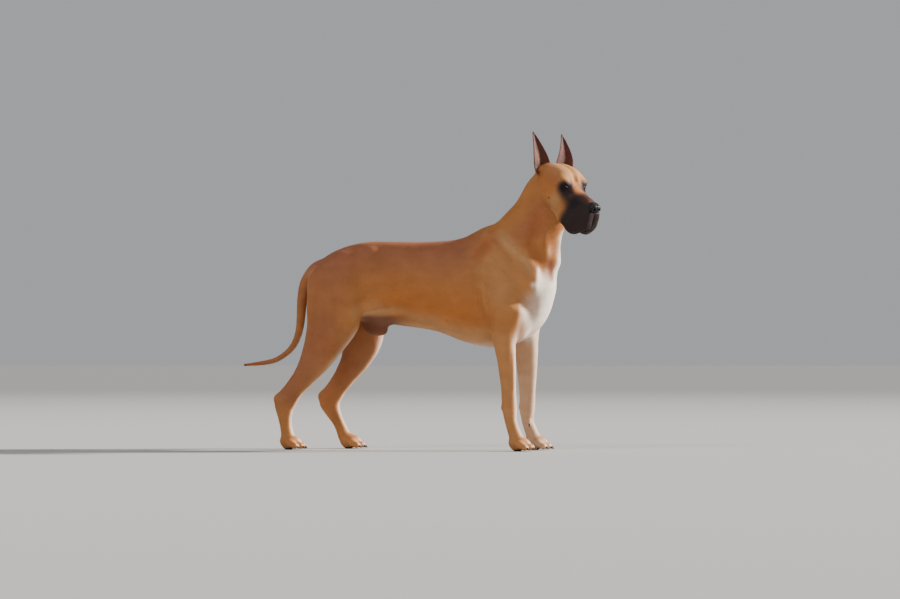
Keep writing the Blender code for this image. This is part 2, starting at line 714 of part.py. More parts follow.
def nose():
    """The nose leather with its two nostrils."""
    pieces = [ellipsoid(*NOSE, 14, square=0.72)]
    pieces += [ellipsoid(*NOSE_WING, 10, side) for side in (1, -1)]
    made = fuse("nose", [placed(piece, head_frame()) for piece in pieces], 0.0018)
    clay = Clay(made)
    clay.relax(3)
    clay.write()
    thin_out(made, NOSE_TRIANGLES)
    for side in (1, -1):
        cutter = add_object("nostril", placed(ellipsoid(*NOSTRIL, -12, side, 14), head_frame()))
        boolean(made, cutter, "DIFFERENCE")
        bpy.data.objects.remove(cutter)
    return keep_largest(made)


def ear_rings(side, inside):
    """Rings of the ear's outer shell, or of the hollow that makes its cup."""
    foot = Vector(EAR_FOOT[side]) * Vector((1, side, 1))
    tip = Vector(EAR_TIP[side]) * Vector((1, side, 1))
    along = (tip - foot).normalized()
    out = Vector((math.cos(EAR_OPEN[side]), math.sin(EAR_OPEN[side]) * side, 0.0))
    out = (out - along * out.dot(along)).normalized()
    across = along.cross(out)
    wall = EAR_WALL if inside else 0.0
    rings = []
    for share, width, depth in spline(EAR_SHAPE, 2):
        if inside and not 0.0 < share < 0.93:
            continue
        arch = math.sin(math.pi * max(share, 0.0))
        middle = foot.lerp(tip, share) + Vector((EAR_BOW, EAR_BULGE[side] * side, 0)) * arch
        ring = []
        for i in range(EAR_RING):
            turn = 2 * math.pi * i / EAR_RING
            back = math.cos(turn)
            front = CUP_OUT if inside else EAR_EDGE * depth
            reach = front if back >= 0 else depth - wall
            half = max(width * EAR_WIDE[side] - wall, 0.0012)
            ring.append(middle + out * back * reach + across * math.sin(turn) * half)
        rings.append(ring)
    return rings


def ear(name, side):
    made = add_object(name, placed(loft(ear_rings(side, False)), head_frame()))
    cutter = add_object("cup", placed(loft(ear_rings(side, True)), head_frame()))
    boolean(made, cutter, "DIFFERENCE")
    bpy.data.objects.remove(cutter)
    round_over(made, 0.0016, 2)
    return thin_out(keep_largest(made), EAR_TRIANGLES)


def round_over(obj, voxel, rounds):
    """Remakes the surface on a fine grid and softens its edges."""
    remesh = obj.modifiers.new("Even", "REMESH")
    remesh.mode = "VOXEL"
    remesh.voxel_size = voxel
    bake(obj)
    clay = Clay(obj)
    clay.relax(rounds)
    clay.write()


def plane_box(place, point, tilt):
    """A frame at a point whose x axis is tilted up from the one of the frame it is given in."""
    return place @ Matrix.Translation(point) @ Matrix.Rotation(math.radians(-tilt), 4, "Y")


def part_trunk(flesh, parts):
    """Takes the neck and the head off, then parts the trunk in three."""
    still = Matrix.Identity(4)
    behind = plane_box(head_frame(), (-0.135, 0, -0.070), 43.8)
    parts["head"] = cut_off(flesh, "head", (0, -0.3, -0.3), (0.5, 0.3, 0.3), behind)
    base = plane_box(still, (0.400, 0, 0.795), 52.4)
    parts["neck"] = cut_off(flesh, "neck", (0, -0.3, -0.4), (0.4, 0.3, 0.4), base)
    parts["rump"] = cut_off(flesh, "rump", (-1, -0.4, -0.1), (-0.20, 0.4, 1.2))
    parts["chest"] = cut_off(flesh, "chest", (0.09, -0.4, -0.1), (1, 0.4, 1.2))
    flesh.name = "loin"
    parts["loin"] = flesh


def part_legs(flesh, parts):
    """Cuts the legs across, from the paws up, and the thighs along the fold of the flank."""
    flank = plane_box(Matrix.Identity(4), THIGH_CUT, -THIGH_SLOPE)
    for side, hand in ((1, "left"), (-1, "right")):
        for limb, low_x, high_x in (("fore", 0.22, 0.56), ("hind", -0.70, -0.13)):
            for bone, low_z, high_z in LEG_CUTS[limb]:
                inner, outer = sorted((LEG_CUT_INSIDE[bone] * side, 0.30 * side))
                name = f"{bone}_{hand}"
                parts[name] = cut_off(flesh, name, (low_x, inner, low_z), (high_x, outer, high_z))
        inner, outer = sorted((THIGH_INSIDE * side, 0.30 * side))
        name = f"thigh_{hand}"
        parts[name] = cut_off(flesh, name, (-0.6, inner, -0.5), (0.012, outer, 0.0), flank)


def tail_lengths(rump, parts):
    tail = add_object("tail", loft(limb_rings(TAIL, count=16, steps=2)))
    clear_of(tail, rump)
    parts["tail_tip"] = cut_off(tail, "tail_tip", (-1, -0.2, 0.2), (-0.62, 0.2, 0.5))
    parts["tail_middle"] = cut_off(tail, "tail_middle", (-0.62, -0.2, 0.3), (-0.4, 0.2, 0.485))
    tail.name = "tail_root"
    parts["tail_root"] = tail


def level_soles(flesh):
    """Cuts the pads flat at the floor."""
    cutter = box_cutter((-1, -1, -0.5), (1, 1, 0.0))
    boolean(flesh, cutter, "DIFFERENCE")
    bpy.data.objects.remove(cutter)


def finish_head(parts):
    head = parts["head"]
    for side, hand in ((1, "left"), (-1, "right")):
        parts[f"ear_{hand}"] = clear_of(ear(f"ear_{hand}", side), head)
    jaw = add_object("jaw", placed(loft(egg_rings(JAW, 16, 0.8, 2)), head_frame()))
    clear_of(head, jaw)
    parts["jaw"] = jaw
    parts["nose"] = nose()
    clear_of(head, parts["nose"])
    for side, hand in ((1, "left"), (-1, "right")):
        open_lids(head, side)
        parts[f"eye_{hand}"] = eye(f"eye_{hand}", side)
        clear_of(head, parts[f"eye_{hand}"])


def colour_parts(parts):
    made = {name: material(name, *values) for name, values in COLOURS.items()}
    for name, obj in parts.items():
        obj.data.materials.clear()
        obj.data.materials.append(made[PLAIN_SLOTS.get(name, "fawn")])


def shade(obj):
    obj.data.polygons.foreach_set("use_smooth", [True] * len(obj.data.polygons))
    obj.data.set_sharp_from_angle(angle=SHARP)


def centre_on_floor(parts):
    """Moves every mesh so that the middle of the whole box is above the origin."""
    corners = np.array([vert.co for obj in parts.values() for vert in obj.data.vertices])
    low, high = corners.min(0), corners.max(0)
    shift = Matrix.Translation((-(low[0] + high[0]) / 2, -(low[1] + high[1]) / 2, 0.0))
    for obj in parts.values():
        obj.data.transform(shift)


def main():
    clear_scene()
    flesh = fused_flesh()
    fine = shape_flesh(flesh)
    thin_out_flesh(flesh, fine)
    add_claws(flesh)
    level_soles(flesh)
    parts = {}
    part_legs(flesh, parts)
    part_trunk(flesh, parts)
    tail_lengths(parts["rump"], parts)
    finish_head(parts)
    centre_on_floor(parts)
    colour_parts(parts)
    for name, obj in parts.items():
        obj.name = name
        obj.data.name = name
        shade(obj)


main()
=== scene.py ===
"""A standing Great Dane at life size: skin, coat, eyes, nose, lips, lids, claws and whiskers round the solids.

Body places are in metres in the dog's own frame: x to the nose, y to its left, z up from the floor.
Head places are in the head's frame: the origin is at the stop, x runs to the nose, y to its left and z up.
"""

import math
from contextlib import contextmanager

import bpy
import numpy as np
from bpy.props import FloatProperty, FloatVectorProperty, IntProperty, PointerProperty
from bpy.types import Operator, Panel, PropertyGroup
from mathutils import Matrix, Vector
from mathutils.bvhtree import BVHTree


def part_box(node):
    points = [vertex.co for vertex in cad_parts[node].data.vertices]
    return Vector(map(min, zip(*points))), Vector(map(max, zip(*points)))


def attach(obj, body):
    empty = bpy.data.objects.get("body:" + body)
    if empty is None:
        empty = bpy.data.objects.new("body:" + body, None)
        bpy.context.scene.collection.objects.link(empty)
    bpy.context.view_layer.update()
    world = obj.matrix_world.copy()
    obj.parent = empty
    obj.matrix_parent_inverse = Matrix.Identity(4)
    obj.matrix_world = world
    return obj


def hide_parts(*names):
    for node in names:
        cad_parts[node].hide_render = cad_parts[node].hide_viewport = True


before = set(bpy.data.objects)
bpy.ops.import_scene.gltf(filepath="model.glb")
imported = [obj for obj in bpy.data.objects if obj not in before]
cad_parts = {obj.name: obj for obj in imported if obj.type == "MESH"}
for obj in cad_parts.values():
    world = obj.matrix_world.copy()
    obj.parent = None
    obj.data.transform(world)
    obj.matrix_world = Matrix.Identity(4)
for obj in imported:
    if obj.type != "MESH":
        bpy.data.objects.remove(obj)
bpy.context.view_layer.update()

bl_info = {
    "name": "Great Dane",
    "version": (1, 0, 0),
    "blender": (4, 5, 0),
    "location": "View3D > Sidebar > Dane",
    "description": "Builds a life-size Great Dane with its coat",
    "category": "Object",
}


def turn(degrees, axis):
    return Matrix.Rotation(math.radians(degrees), 4, axis)



SIDES = {"left": 1, "right": -1}
TRUNK_NODES = ("neck", "chest", "loin", "rump")
LEG_NODES = [f"{part}_{hand}" for part in ("forearm", "thigh", "shank") for hand in SIDES]
PASTERN_NODES = [f"{part}_{hand}" for part in ("fore_pastern", "hind_pastern") for hand in SIDES]
PAW_NODES = [f"{part}_{hand}" for part in ("fore_paw", "hind_paw") for hand in SIDES]
TAIL_NODES = ("tail_root", "tail_middle", "tail_tip")
EAR_NODES = ("ear_left", "ear_right")
FLESH = ["head", "jaw", *EAR_NODES, *TRUNK_NODES, *LEG_NODES, *PASTERN_NODES, *PAW_NODES, *TAIL_NODES]
FILLING = ["nose", "eye_left", "eye_right"]  # closes the skin's holes before the sockets are cut

# The head's frame, set by the eyes of the solids.
HEAD_TURN = -37  # degrees
HEAD_NOD = 22.5
EYE = Vector((-0.012, 0.044, 0.002))  # middle of the left eyeball, in the head's frame
STOP = Vector((0.606, -0.104, 1.0055))  # the head frame's origin, in the dog's frame
HEAD_ROTATION = turn(HEAD_TURN, "Z") @ turn(HEAD_NOD, "Y")


def node_middle(name):
    low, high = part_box(name)
    return (low + high) / 2


EYES_MIDDLE = (node_middle("eye_left") + node_middle("eye_right")) / 2
HEAD = Matrix.Translation(EYES_MIDDLE - HEAD_ROTATION @ Vector((EYE.x, 0, EYE.z))) @ HEAD_ROTATION
BODY = Matrix.Translation(HEAD.translation - STOP)
EYE_RADIUS = (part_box("eye_left")[1].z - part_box("eye_left")[0].z) / 2
GAZE_OUT = 35  # degrees away from straight ahead
OPENING = (0.0122, 0.0068)  # half width and half height of the gap between the lids

# Paws: x and y of the sole's middle in the dog's frame, and the turn outwards in degrees.
PAWS = {
    "fore_right": (0.388, -0.098, 4),
    "fore_left": (0.41, 0.098, 4),
    "hind_right": (-0.536, -0.096, 4),
    "hind_left": (-0.348, 0.096, 4),
}
CLAW_ROOTS = ((0.051, 0.012, 0.014), (0.037, 0.0335, 0.013))
EAR_FOOT = {1: Vector((-0.137, 0.038, 0.01)), -1: Vector((-0.129, -0.057, 0.008))}  # left and right
EAR_TIP = {1: Vector((-0.244, 0.078, 0.143)), -1: Vector((-0.245, -0.067, 0.147))}
LID = 0.0022  # thickness of the lids over the eyeball
LID_RIM = 0.0009  # half thickness of the bare rim
CORNEA = 0.0011  # how far the cornea stands out
LIP = 0.0018  # half thickness of the bare lip
LIP_BACK, LIP_FRONT, LIP_STEP = 0.01, 0.143, 0.007  # from the corner of the mouth, in the head's frame
WHISKER = 0.00028  # half thickness at the root
WHISKER_STEPS = 9


# ---------------------------------------------------------------- sizes and colours


def length(name, text, default):
    return FloatProperty(name=name, description=text, default=default, min=0.0, subtype="DISTANCE", unit="LENGTH")


def colour(name, text, default):
    return FloatVectorProperty(name=name, description=text, default=default, min=0.0, max=1.0, size=3, subtype="COLOR")


class DaneSizes(PropertyGroup):
    """Sizes a user would change."""

    grain: length("Skin grain", "Cell of the grid that the skin is made on", 0.0024)
    skin_triangles: IntProperty(name="Skin triangles", description="Size of the finished skin", default=186000)
    inset: length("Inset", "How far the skin of the body lies inside the solids", 0.0012)
    tuft_length: length("Tuft length", "Length of a tuft on the body", 0.0105)
    tuft_width: length("Tuft width", "Width of a tuft at its root on the body", 0.0018)
    tufts: IntProperty(name="Tufts", description="Number of tufts in the whole coat", default=330000)
    whisker: length("Whisker", "Length of the longest whisker", 0.048)
    claw: length("Claw", "Length of a claw", 0.017)


class DaneColours(PropertyGroup):
    """Colours a user would change."""

    gold: colour("Gold", "Sides of the body", (0.44, 0.17, 0.047))
    # Saddle is also laid as painted shade in the fold on the near side of the neck and between the hind legs, and
    # lighter over the mask as a painted sheen on the top of the bridge.
    saddle: colour("Saddle", "Back and rump", (0.295, 0.098, 0.05))
    orange: colour("Orange", "Lower ribs and flank", (0.45, 0.138, 0.024))
    # Sand is also laid as painted light on the shoulders, along the blade's front edge, along the folds of the flanks
    # and on the crown.
    sand: colour("Sand", "Shoulder, belly and the inside of the legs", (0.53, 0.27, 0.115))
    # Cream is also laid as painted light on the fur of the chest and shins that faces forward, and as a painted
    # highlight on the point of the shoulder.
    cream: colour("Cream", "Front of the chest and throat", (0.84, 0.75, 0.65))
    # Russet in the hollows of the neck and behind the blade is painted shade; elsewhere it is the coat's own colour.
    russet: colour("Russet", "Behind the withers, hollow of the neck and tip of the tail", (0.34, 0.088, 0.026))
    # The mask colour is also laid as painted shade under the brows, beside the bridge and at the foot of the ears.
    mask: colour("Mask", "Muzzle and round the eyes", (0.0115, 0.0095, 0.014))
    ear: colour("Ear", "Inside of the ears", (0.09, 0.027, 0.021))
    # Groin is the bare skin there and partly painted shade under the flank.
    groin: colour("Groin", "Bare skin under the flank", (0.135, 0.047, 0.032))
    iris: colour("Iris", "Iris", (0.026, 0.0095, 0.0035))
    leather: colour("Leather", "Nose, lips and lids", (0.004, 0.0034, 0.0046))
    horn: colour("Horn", "Claws", (0.019, 0.014, 0.012))
    floor: colour("Floor", "Floor and surroundings", (0.46, 0.455, 0.44))


# ---------------------------------------------------------------- tools for the pieces


def deselect():
    if bpy.context.mode != "OBJECT":
        bpy.ops.object.mode_set(mode="OBJECT")
    bpy.ops.object.select_all(action="DESELECT")


def take(*objects):
    """Selects these objects only, with the last one active."""
    deselect()
    for obj in objects:
        obj.select_set(True)
    bpy.context.view_layer.objects.active = objects[-1]
    return objects[-1]


def apply_modifiers(obj):
    take(obj)
    for modifier in list(obj.modifiers):
        bpy.ops.object.modifier_apply(modifier=modifier.name)
    return obj


def settle(obj):
    """Puts the object's place into its mesh."""
    take(obj)
    bpy.ops.object.transform_apply(location=True, rotation=True, scale=True)
    return obj


def ball(place, radii, segments=32, rings=16):
    """A sphere primitive stretched to three half lengths in a frame."""
    deselect()
    bpy.ops.mesh.primitive_uv_sphere_add(segments=segments, ring_count=rings, radius=1.0)
    made = bpy.context.object
    made.matrix_world = place @ Matrix.Diagonal((*radii, 1.0))
    return settle(made)


def joined(name, objects):
    take(*objects)
    bpy.ops.object.join()
    made = bpy.context.object
    made.name = name
    made.data.name = name
    return made


@contextmanager
def editing(obj):
    """Edit mode on this object, with all of it selected."""
    take(obj)
    bpy.ops.object.mode_set(mode="EDIT")
    bpy.ops.mesh.select_all(action="SELECT")
    yield
    bpy.ops.object.mode_set(mode="OBJECT")


def weld(obj, distance=1e-5):
    with editing(obj):
        bpy.ops.mesh.remove_doubles(threshold=distance)
        bpy.ops.mesh.normals_make_consistent(inside=False)
    return obj


def remesh(obj, cell):
    modifier = obj.modifiers.new("Even", "REMESH")
    modifier.mode = "VOXEL"
    modifier.voxel_size = cell
    return apply_modifiers(obj)


def cut(obj, cutter):
    """Takes the cutter's shape out of the object and removes the cutter."""
    modifier = obj.modifiers.new("Cut", "BOOLEAN")
    modifier.operation = "DIFFERENCE"
    modifier.solver = "MANIFOLD"
    modifier.object = cutter
    apply_modifiers(obj)
    bpy.data.objects.remove(cutter)
    return obj


def add_object(name, data):
    made = bpy.data.objects.new(name, data)
    bpy.context.scene.collection.objects.link(made)
    return made


def add_mesh(name, points, faces):
    mesh = bpy.data.meshes.new(name)
    mesh.from_pydata([tuple(point) for point in points], [], faces)
    mesh.update()
    return add_object(name, mesh)


def finish(obj, made_of, replaces=(), smooth=True):
    """Gives the piece its material and lets it ride."""
    obj.data.materials.clear()
    obj.data.materials.append(made_of)
    if smooth:
        take(obj)
        bpy.ops.object.shade_smooth()
    deselect()
    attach(obj, "root")
    if replaces:
        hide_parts(*replaces)
    return obj


def spline(rows, steps):
    """The rows of numbers resampled along a Catmull-Rom curve, with this many steps to each span."""
    rows = np.array(rows, float)
    ends = np.vstack([2 * rows[0] - rows[1], rows, 2 * rows[-1] - rows[-2]])
    out = []
    for a, b, c, d in zip(ends, ends[1:], ends[2:], ends[3:]):
        for t in np.arange(steps) / steps:
            square = 2 * a - 5 * b + 4 * c - d
            cube = 3 * b - a - 3 * c + d
            out.append(0.5 * (2 * b + (c - a) * t + square * t**2 + cube * t**3))
    return np.array(out + [rows[-1]])


def sleeve(rings, sides):
    """The faces between rings of points."""
    faces = []
    for base in range(0, (rings - 1) * sides, sides):
        for k in range(sides):
            j = (k + 1) % sides
            faces.append((base + k, base + j, base + sides + j, base + sides + k))
    return faces


def ends_of(rings, sides):
    """The faces that close a sleeve."""
    return [tuple(range(sides))[::-1], tuple(range((rings - 1) * sides, rings * sides))]


def tube(path, radii, sides=8):
    """Points and faces of a round tube along a path, closed at both ends."""
    path = [Vector(point) for point in path]
    points = []
    side = None
    for i, middle in enumerate(path):
        along = (path[min(i + 1, len(path) - 1)] - path[max(i - 1, 0)]).normalized()
        side = side or along.orthogonal()
        side = (side - along * side.dot(along)).normalized()
        up = along.cross(side)
        for k in range(sides):
            angle = 2 * math.pi * k / sides
            points.append(middle + (side * math.cos(angle) + up * math.sin(angle)) * radii[i])
    return points, sleeve(len(path), sides) + ends_of(len(path), sides)


def combined(name, shapes):
    """One object from several (points, faces) shapes."""
    points, faces = [], []
    for some_points, some_faces in shapes:
        base = len(points)
        points += list(some_points)
        faces += [tuple(base + i for i in face) for face in some_faces]
    return add_mesh(name, points, faces)


def rise(values, low, high):
    """0 below low, 1 above high and a soft step between."""
    t = np.clip((values - low) / (high - low), 0, 1)
    return t * t * (3 - 2 * t)


def near_line(points, spots, reach):
    """1 on a line through the spots, falling to 0 at the reach."""
    spots = np.atleast_2d(np.array(spots, float))
    if len(spots) == 1:
        least = np.linalg.norm(points - spots[0], axis=1)
    else:
        least = np.full(len(points), np.inf)
        for a, b in zip(spots, spots[1:]):
            run = b - a
            t = np.clip((points - a) @ run / (run @ run), 0, 1)
            least = np.minimum(least, np.linalg.norm(points - a - t[:, None] * run, axis=1))
    return np.clip(1 - (least / reach) ** 2, 0, 1) ** 2


def placed(spots, place, side=1):
    """Spots given for the left, on this side and through a matrix."""
    return [place @ Vector((x, y * side, z)) for x, y, z in spots]


def moved(points, place):
    """Points taken through a matrix."""
    place = np.array(place)
    return points @ place[:3, :3].T + place[:3, 3]


def turned(vectors, place):
    return vectors @ np.array(place)[:3, :3].T


def normalised(vectors):
    return vectors / np.maximum(np.linalg.norm(vectors, axis=1, keepdims=True), 1e-9)


class Clay:
    """A mesh's points held for soft sculpting strokes."""

    def __init__(self, obj):
        self.mesh = obj.data
        count = len(self.mesh.vertices)
        self.points = points_of(self.mesh)
        self.ends = read(self.mesh.edges, "vertices", 2, np.int32)
        self.near = np.bincount(self.ends.ravel(), minlength=count)

    def around(self, values):
        """The mean of each point's neighbours."""
        a, b = self.ends.T
        count = len(self.near)
        total = np.bincount(a, values[b], count) + np.bincount(b, values[a], count)
        return total / np.maximum(self.near, 1)

    def spread(self, values, rounds):
        for _ in range(rounds):
            values = 0.5 * values + 0.5 * self.around(values)
        return values

    def relax(self, rounds, weight=1.0):
        weight = np.broadcast_to(np.asarray(weight, float), len(self.points))
        for _ in range(rounds):
            for k in range(3):
                self.points[:, k] += 0.5 * weight * (self.around(self.points[:, k]) - self.points[:, k])

    def even_out(self, rounds, weight):
        """Smooths and gives back the girth that smoothing takes."""
        start = self.points.copy()
        self.relax(rounds, weight)
        lost = ((self.points - start) * self.normals()).sum(1)
        self.points -= self.normals() * (self.spread(lost, rounds + 10) * weight)[:, None]

    def stroke(self, spots, reach, height, place, sides=(1, -1)):
        """Raises a soft ridge along the spots, or a groove where height is negative."""
        for side in sides:
            share = near_line(self.points, placed(spots, place, side), reach)
            self.points += self.normals() * (share * height)[:, None]

    def soften(self, spots, reach, rounds, place, side=1):
        """Smooths along the spots."""
        self.relax(rounds, near_line(self.points, placed(spots, place, side), reach) ** 0.5)

    def normals(self):
        self.write()
        return read(self.mesh.vertex_normals, "vector", 3).astype(float)

    def write(self):
        self.mesh.vertices.foreach_set("co", self.points.astype(np.float32).ravel())
        self.mesh.update()


def read(rows, name, width, kind=np.float32):
    found = np.empty(len(rows) * width, kind)
    rows.foreach_get(name, found)
    return found.reshape(-1, width) if width > 1 else found


def points_of(mesh):
    return read(mesh.vertices, "co", 3).astype(float)


def triangles_of(mesh, name="vertices"):
    """The points, or the loops, at the corners of each triangle."""
    mesh.calc_loop_triangles()
    return read(mesh.loop_triangles, name, 3, np.int32)


def store(mesh, name, kind, values):
    """Keeps values as an attribute of the mesh's points."""
    field = "color" if kind == "FLOAT_COLOR" else "vector" if kind == "FLOAT_VECTOR" else "value"
    attribute = mesh.attributes.new(name, kind, "POINT")
    attribute.data.foreach_set(field, np.ascontiguousarray(values, np.float32).ravel())


# ---------------------------------------------------------------- markings and lie of the coat


def markings(points, facing, ear, colours):
    """The coat's colour at each point, for the skin and the tufts alike; ear is 1 on the ears, 0 elsewhere."""
    body = moved(points, BODY.inverted())
    head = moved(points, HEAD.inverted())
    on_head = rise(near_line(head, ((-0.16, 0, -0.02), (0.1, 0, -0.07)), 0.19), 0.12, 0.3)
    shade = np.tile(np.array(colours.gold), (len(points), 1))

    def lay(value, share):
        """Mixes a colour in by its share at each point."""
        share = np.clip(share, 0, 1)[:, None]
        shade[:] = shade * (1 - share) + np.array(value) * share

    mark_trunk(lay, colours, body, facing, on_head)
    mark_front(lay, colours, body, facing, on_head)
    mark_tail(lay, colours, body, facing)
    mark_head(lay, colours, head, on_head)
    mark_ears(lay, colours, head, facing, ear)
    lay(colours.leather, 0.85 * (1 - rise(body[:, 2], 0.0045, 0.01)))
    return shade


def on_one_side(points):
    """The points with those of the right mirrored to the left."""
    half = points.copy()
    half[:, 1] = np.abs(half[:, 1])
    return half


def mark_trunk(lay, colours, body, facing, on_head):
    """Back, ribs, legs and belly."""
    both = on_one_side(body)
    x, y, z = body.T
    outward, up = facing[:, 1] * np.sign(y), facing[:, 2]
    on_trunk = rise(z, 0.4, 0.5) * (1 - on_head)
    on_leg = 1 - rise(z, 0.42, 0.5)

    # Back, rump and ribs.
    lay(colours.saddle, 0.8 * on_trunk * rise(z, 0.6, 0.8) * (1 - rise(x, 0.14, 0.28)))
    lay(colours.saddle, 0.45 * on_trunk * rise(-x, 0.22, 0.36) * rise(z, 0.45, 0.6))
    lay(colours.orange, 0.8 * near_line(both, ((0.16, 0.12, 0.51), (-0.12, 0.11, 0.56)), 0.16) * on_trunk)

    # Thighs, shoulders and the sides of the neck; the sand on the shoulder and along the blade's front edge is painted
    # light.
    thigh = ((-0.4, 0.12, 0.46), (-0.44, 0.12, 0.38), (-0.54, 0.1, 0.24))
    lay(colours.saddle, 0.75 * near_line(both, thigh, 0.13))
    lay(colours.russet, 0.45 * near_line(both, ((-0.42, 0.13, 0.42), (-0.36, 0.13, 0.4)), 0.06))
    # Painted light on the shoulder, laid in sand.
    lay(colours.sand, 0.35 * near_line(both, ((0.28, 0.11, 0.74), (0.34, 0.12, 0.62)), 0.13))
    neck = ((0.47, 0.075, 0.93), (0.43, 0.08, 0.87), (0.39, 0.085, 0.84))
    lay(colours.saddle, 0.55 * near_line(both, neck, 0.08))
    # Painted highlight along the ridge of the blade's front edge.
    blade = ((0.3, 0.09, 0.84), (0.4, 0.09, 0.74), (0.45, 0.09, 0.68))
    lay(colours.sand, 0.8 * near_line(both, blade, 0.04))

    # Belly and the inside of the legs; the pale inner colour is kept mostly to the forelegs, and the inner sides of the
    # hind legs get painted shade.
    lay(colours.sand, 0.95 * rise(-up, 0.25, 0.85) * (1 - rise(z, 0.62, 0.72)) * (1 - on_head))
    fore = rise(x, 0.0, 0.2)
    lay(colours.sand, (0.1 + 0.7 * fore) * rise(-outward, 0.1, 0.75) * on_leg)
    lay(colours.cream, 0.3 * fore * rise(-outward, 0.1, 0.75) * on_leg)
    lay(colours.sand, (0.1 + 0.25 * fore) * on_leg)
    # Painted shade on the inner sides of the hind legs, between them.
    between = rise(-outward, 0.1, 0.75) * (1 - rise(z, 0.5, 0.56)) * rise(z, 0.12, 0.3)
    lay(colours.saddle, 0.45 * (1 - fore) * between)

    # Painted highlight along the folds of the flanks, the seat below the tail, and bare skin with painted shade under
    # the flank.
    flank = ((-0.27, 0.12, 0.53), (-0.2, 0.11, 0.57), (-0.13, 0.1, 0.555))
    lay(colours.sand, 0.4 * near_line(both, flank, 0.035))
    seat = near_line(both, ((-0.47, 0.04, 0.68), (-0.49, 0.07, 0.55)), 0.06)
    lay(colours.sand, 0.65 * seat * rise(-facing[:, 0], 0, 0.5))
    # Darker bare skin of the groin and sheath, partly painted shade under the flank.
    under = rise(z, 0.42, 0.44) * (1 - rise(z, 0.515, 0.535)) * (1 - rise(np.abs(y), 0.085, 0.1))
    under *= 1 - rise(np.abs(y), 0.024, 0.036) * (1 - rise(z, 0.485, 0.5))
    lay(colours.groin, 0.8 * under * rise(-x, 0.02, 0.16) * (1 - rise(-x, 0.24, 0.3)))


def mark_front(lay, colours, body, facing, on_head):
    """White of the chest, partly painted light where the fur faces forward, with painted shade in the folds and hollows
    of the neck.
    """
    both = on_one_side(body)
    x, y, z = body.T
    forward, outward = facing[:, 0], facing[:, 1] * np.sign(y)
    # Cream on the fur that faces forward: the white of the chest, partly painted light.
    front = rise(forward - 0.25 * outward - 0.4 * rise(z, 0.62, 0.8), 0.18, 0.8)
    front = front * rise(x, 0.36, 0.45) * rise(z, 0.44, 0.52) * (1 - on_head)
    lay(colours.cream, 0.95 * front * (1 - rise(z, 0.86, 0.94)))
    lay(colours.cream, 0.75 * near_line(both, ((0.45, 0.04, 0.6), (0.41, 0.04, 0.47)), 0.09))
    # Painted highlight on the point of the shoulder.
    lay(colours.cream, 0.85 * near_line(both, ((0.446, 0.107, 0.64),), 0.018))
    lay(colours.cream, 0.5 * near_line(body, ((0.2, 0, 0.4), (0.4, 0, 0.43)), 0.075))

    # Painted shade in the fold on the near side, painted light on the shins, and painted shade in russet in the
    # hollows.
    # Painted shade in the fold on the near side only.
    lay(colours.saddle, 0.9 * near_line(body, ((0.493, -0.046, 0.735), (0.499, -0.038, 0.672)), 0.026))
    # Painted light on the fronts of the lower legs, where they face forward.
    lay(colours.cream, 0.45 * (1 - rise(z, 0.42, 0.5)) * rise(forward, 0.55, 0.9))
    # Painted shade in russet in the hollow behind the blade.
    lay(colours.russet, 0.65 * near_line(both, ((0.275, 0.08, 0.815), (0.225, 0.1, 0.765)), 0.05))
    # Painted shade in russet in the hollow before the shoulder.
    hollow = ((0.455, 0.08, 0.9), (0.424, 0.09, 0.8), (0.455, 0.08, 0.745))
    lay(colours.russet, 0.45 * near_line(both, hollow, 0.04))
    # Painted shade in a hollow at the front of the neck, on the near side only.
    lay(colours.russet, 0.4 * near_line(body, ((0.525, -0.05, 0.85), (0.49, -0.07, 0.8)), 0.028))


def mark_tail(lay, colours, body, facing):
    x, y, z = body.T
    forward, up = facing[:, 0], facing[:, 2]
    tail = rise(-x, 0.505, 0.56) * (1 - rise(y * y, 0.002, 0.004)) * rise(z, 0.28, 0.33)
    lay(colours.saddle, 0.35 * tail)
    lay(colours.sand, 0.55 * tail * rise(forward - 0.8 * up, 0.3, 1.0))
    lay(colours.russet, 0.6 * tail * rise(-x, 0.6, 0.72))
    lay(colours.mask, 0.55 * tail * rise(-x, 0.735, 0.765))


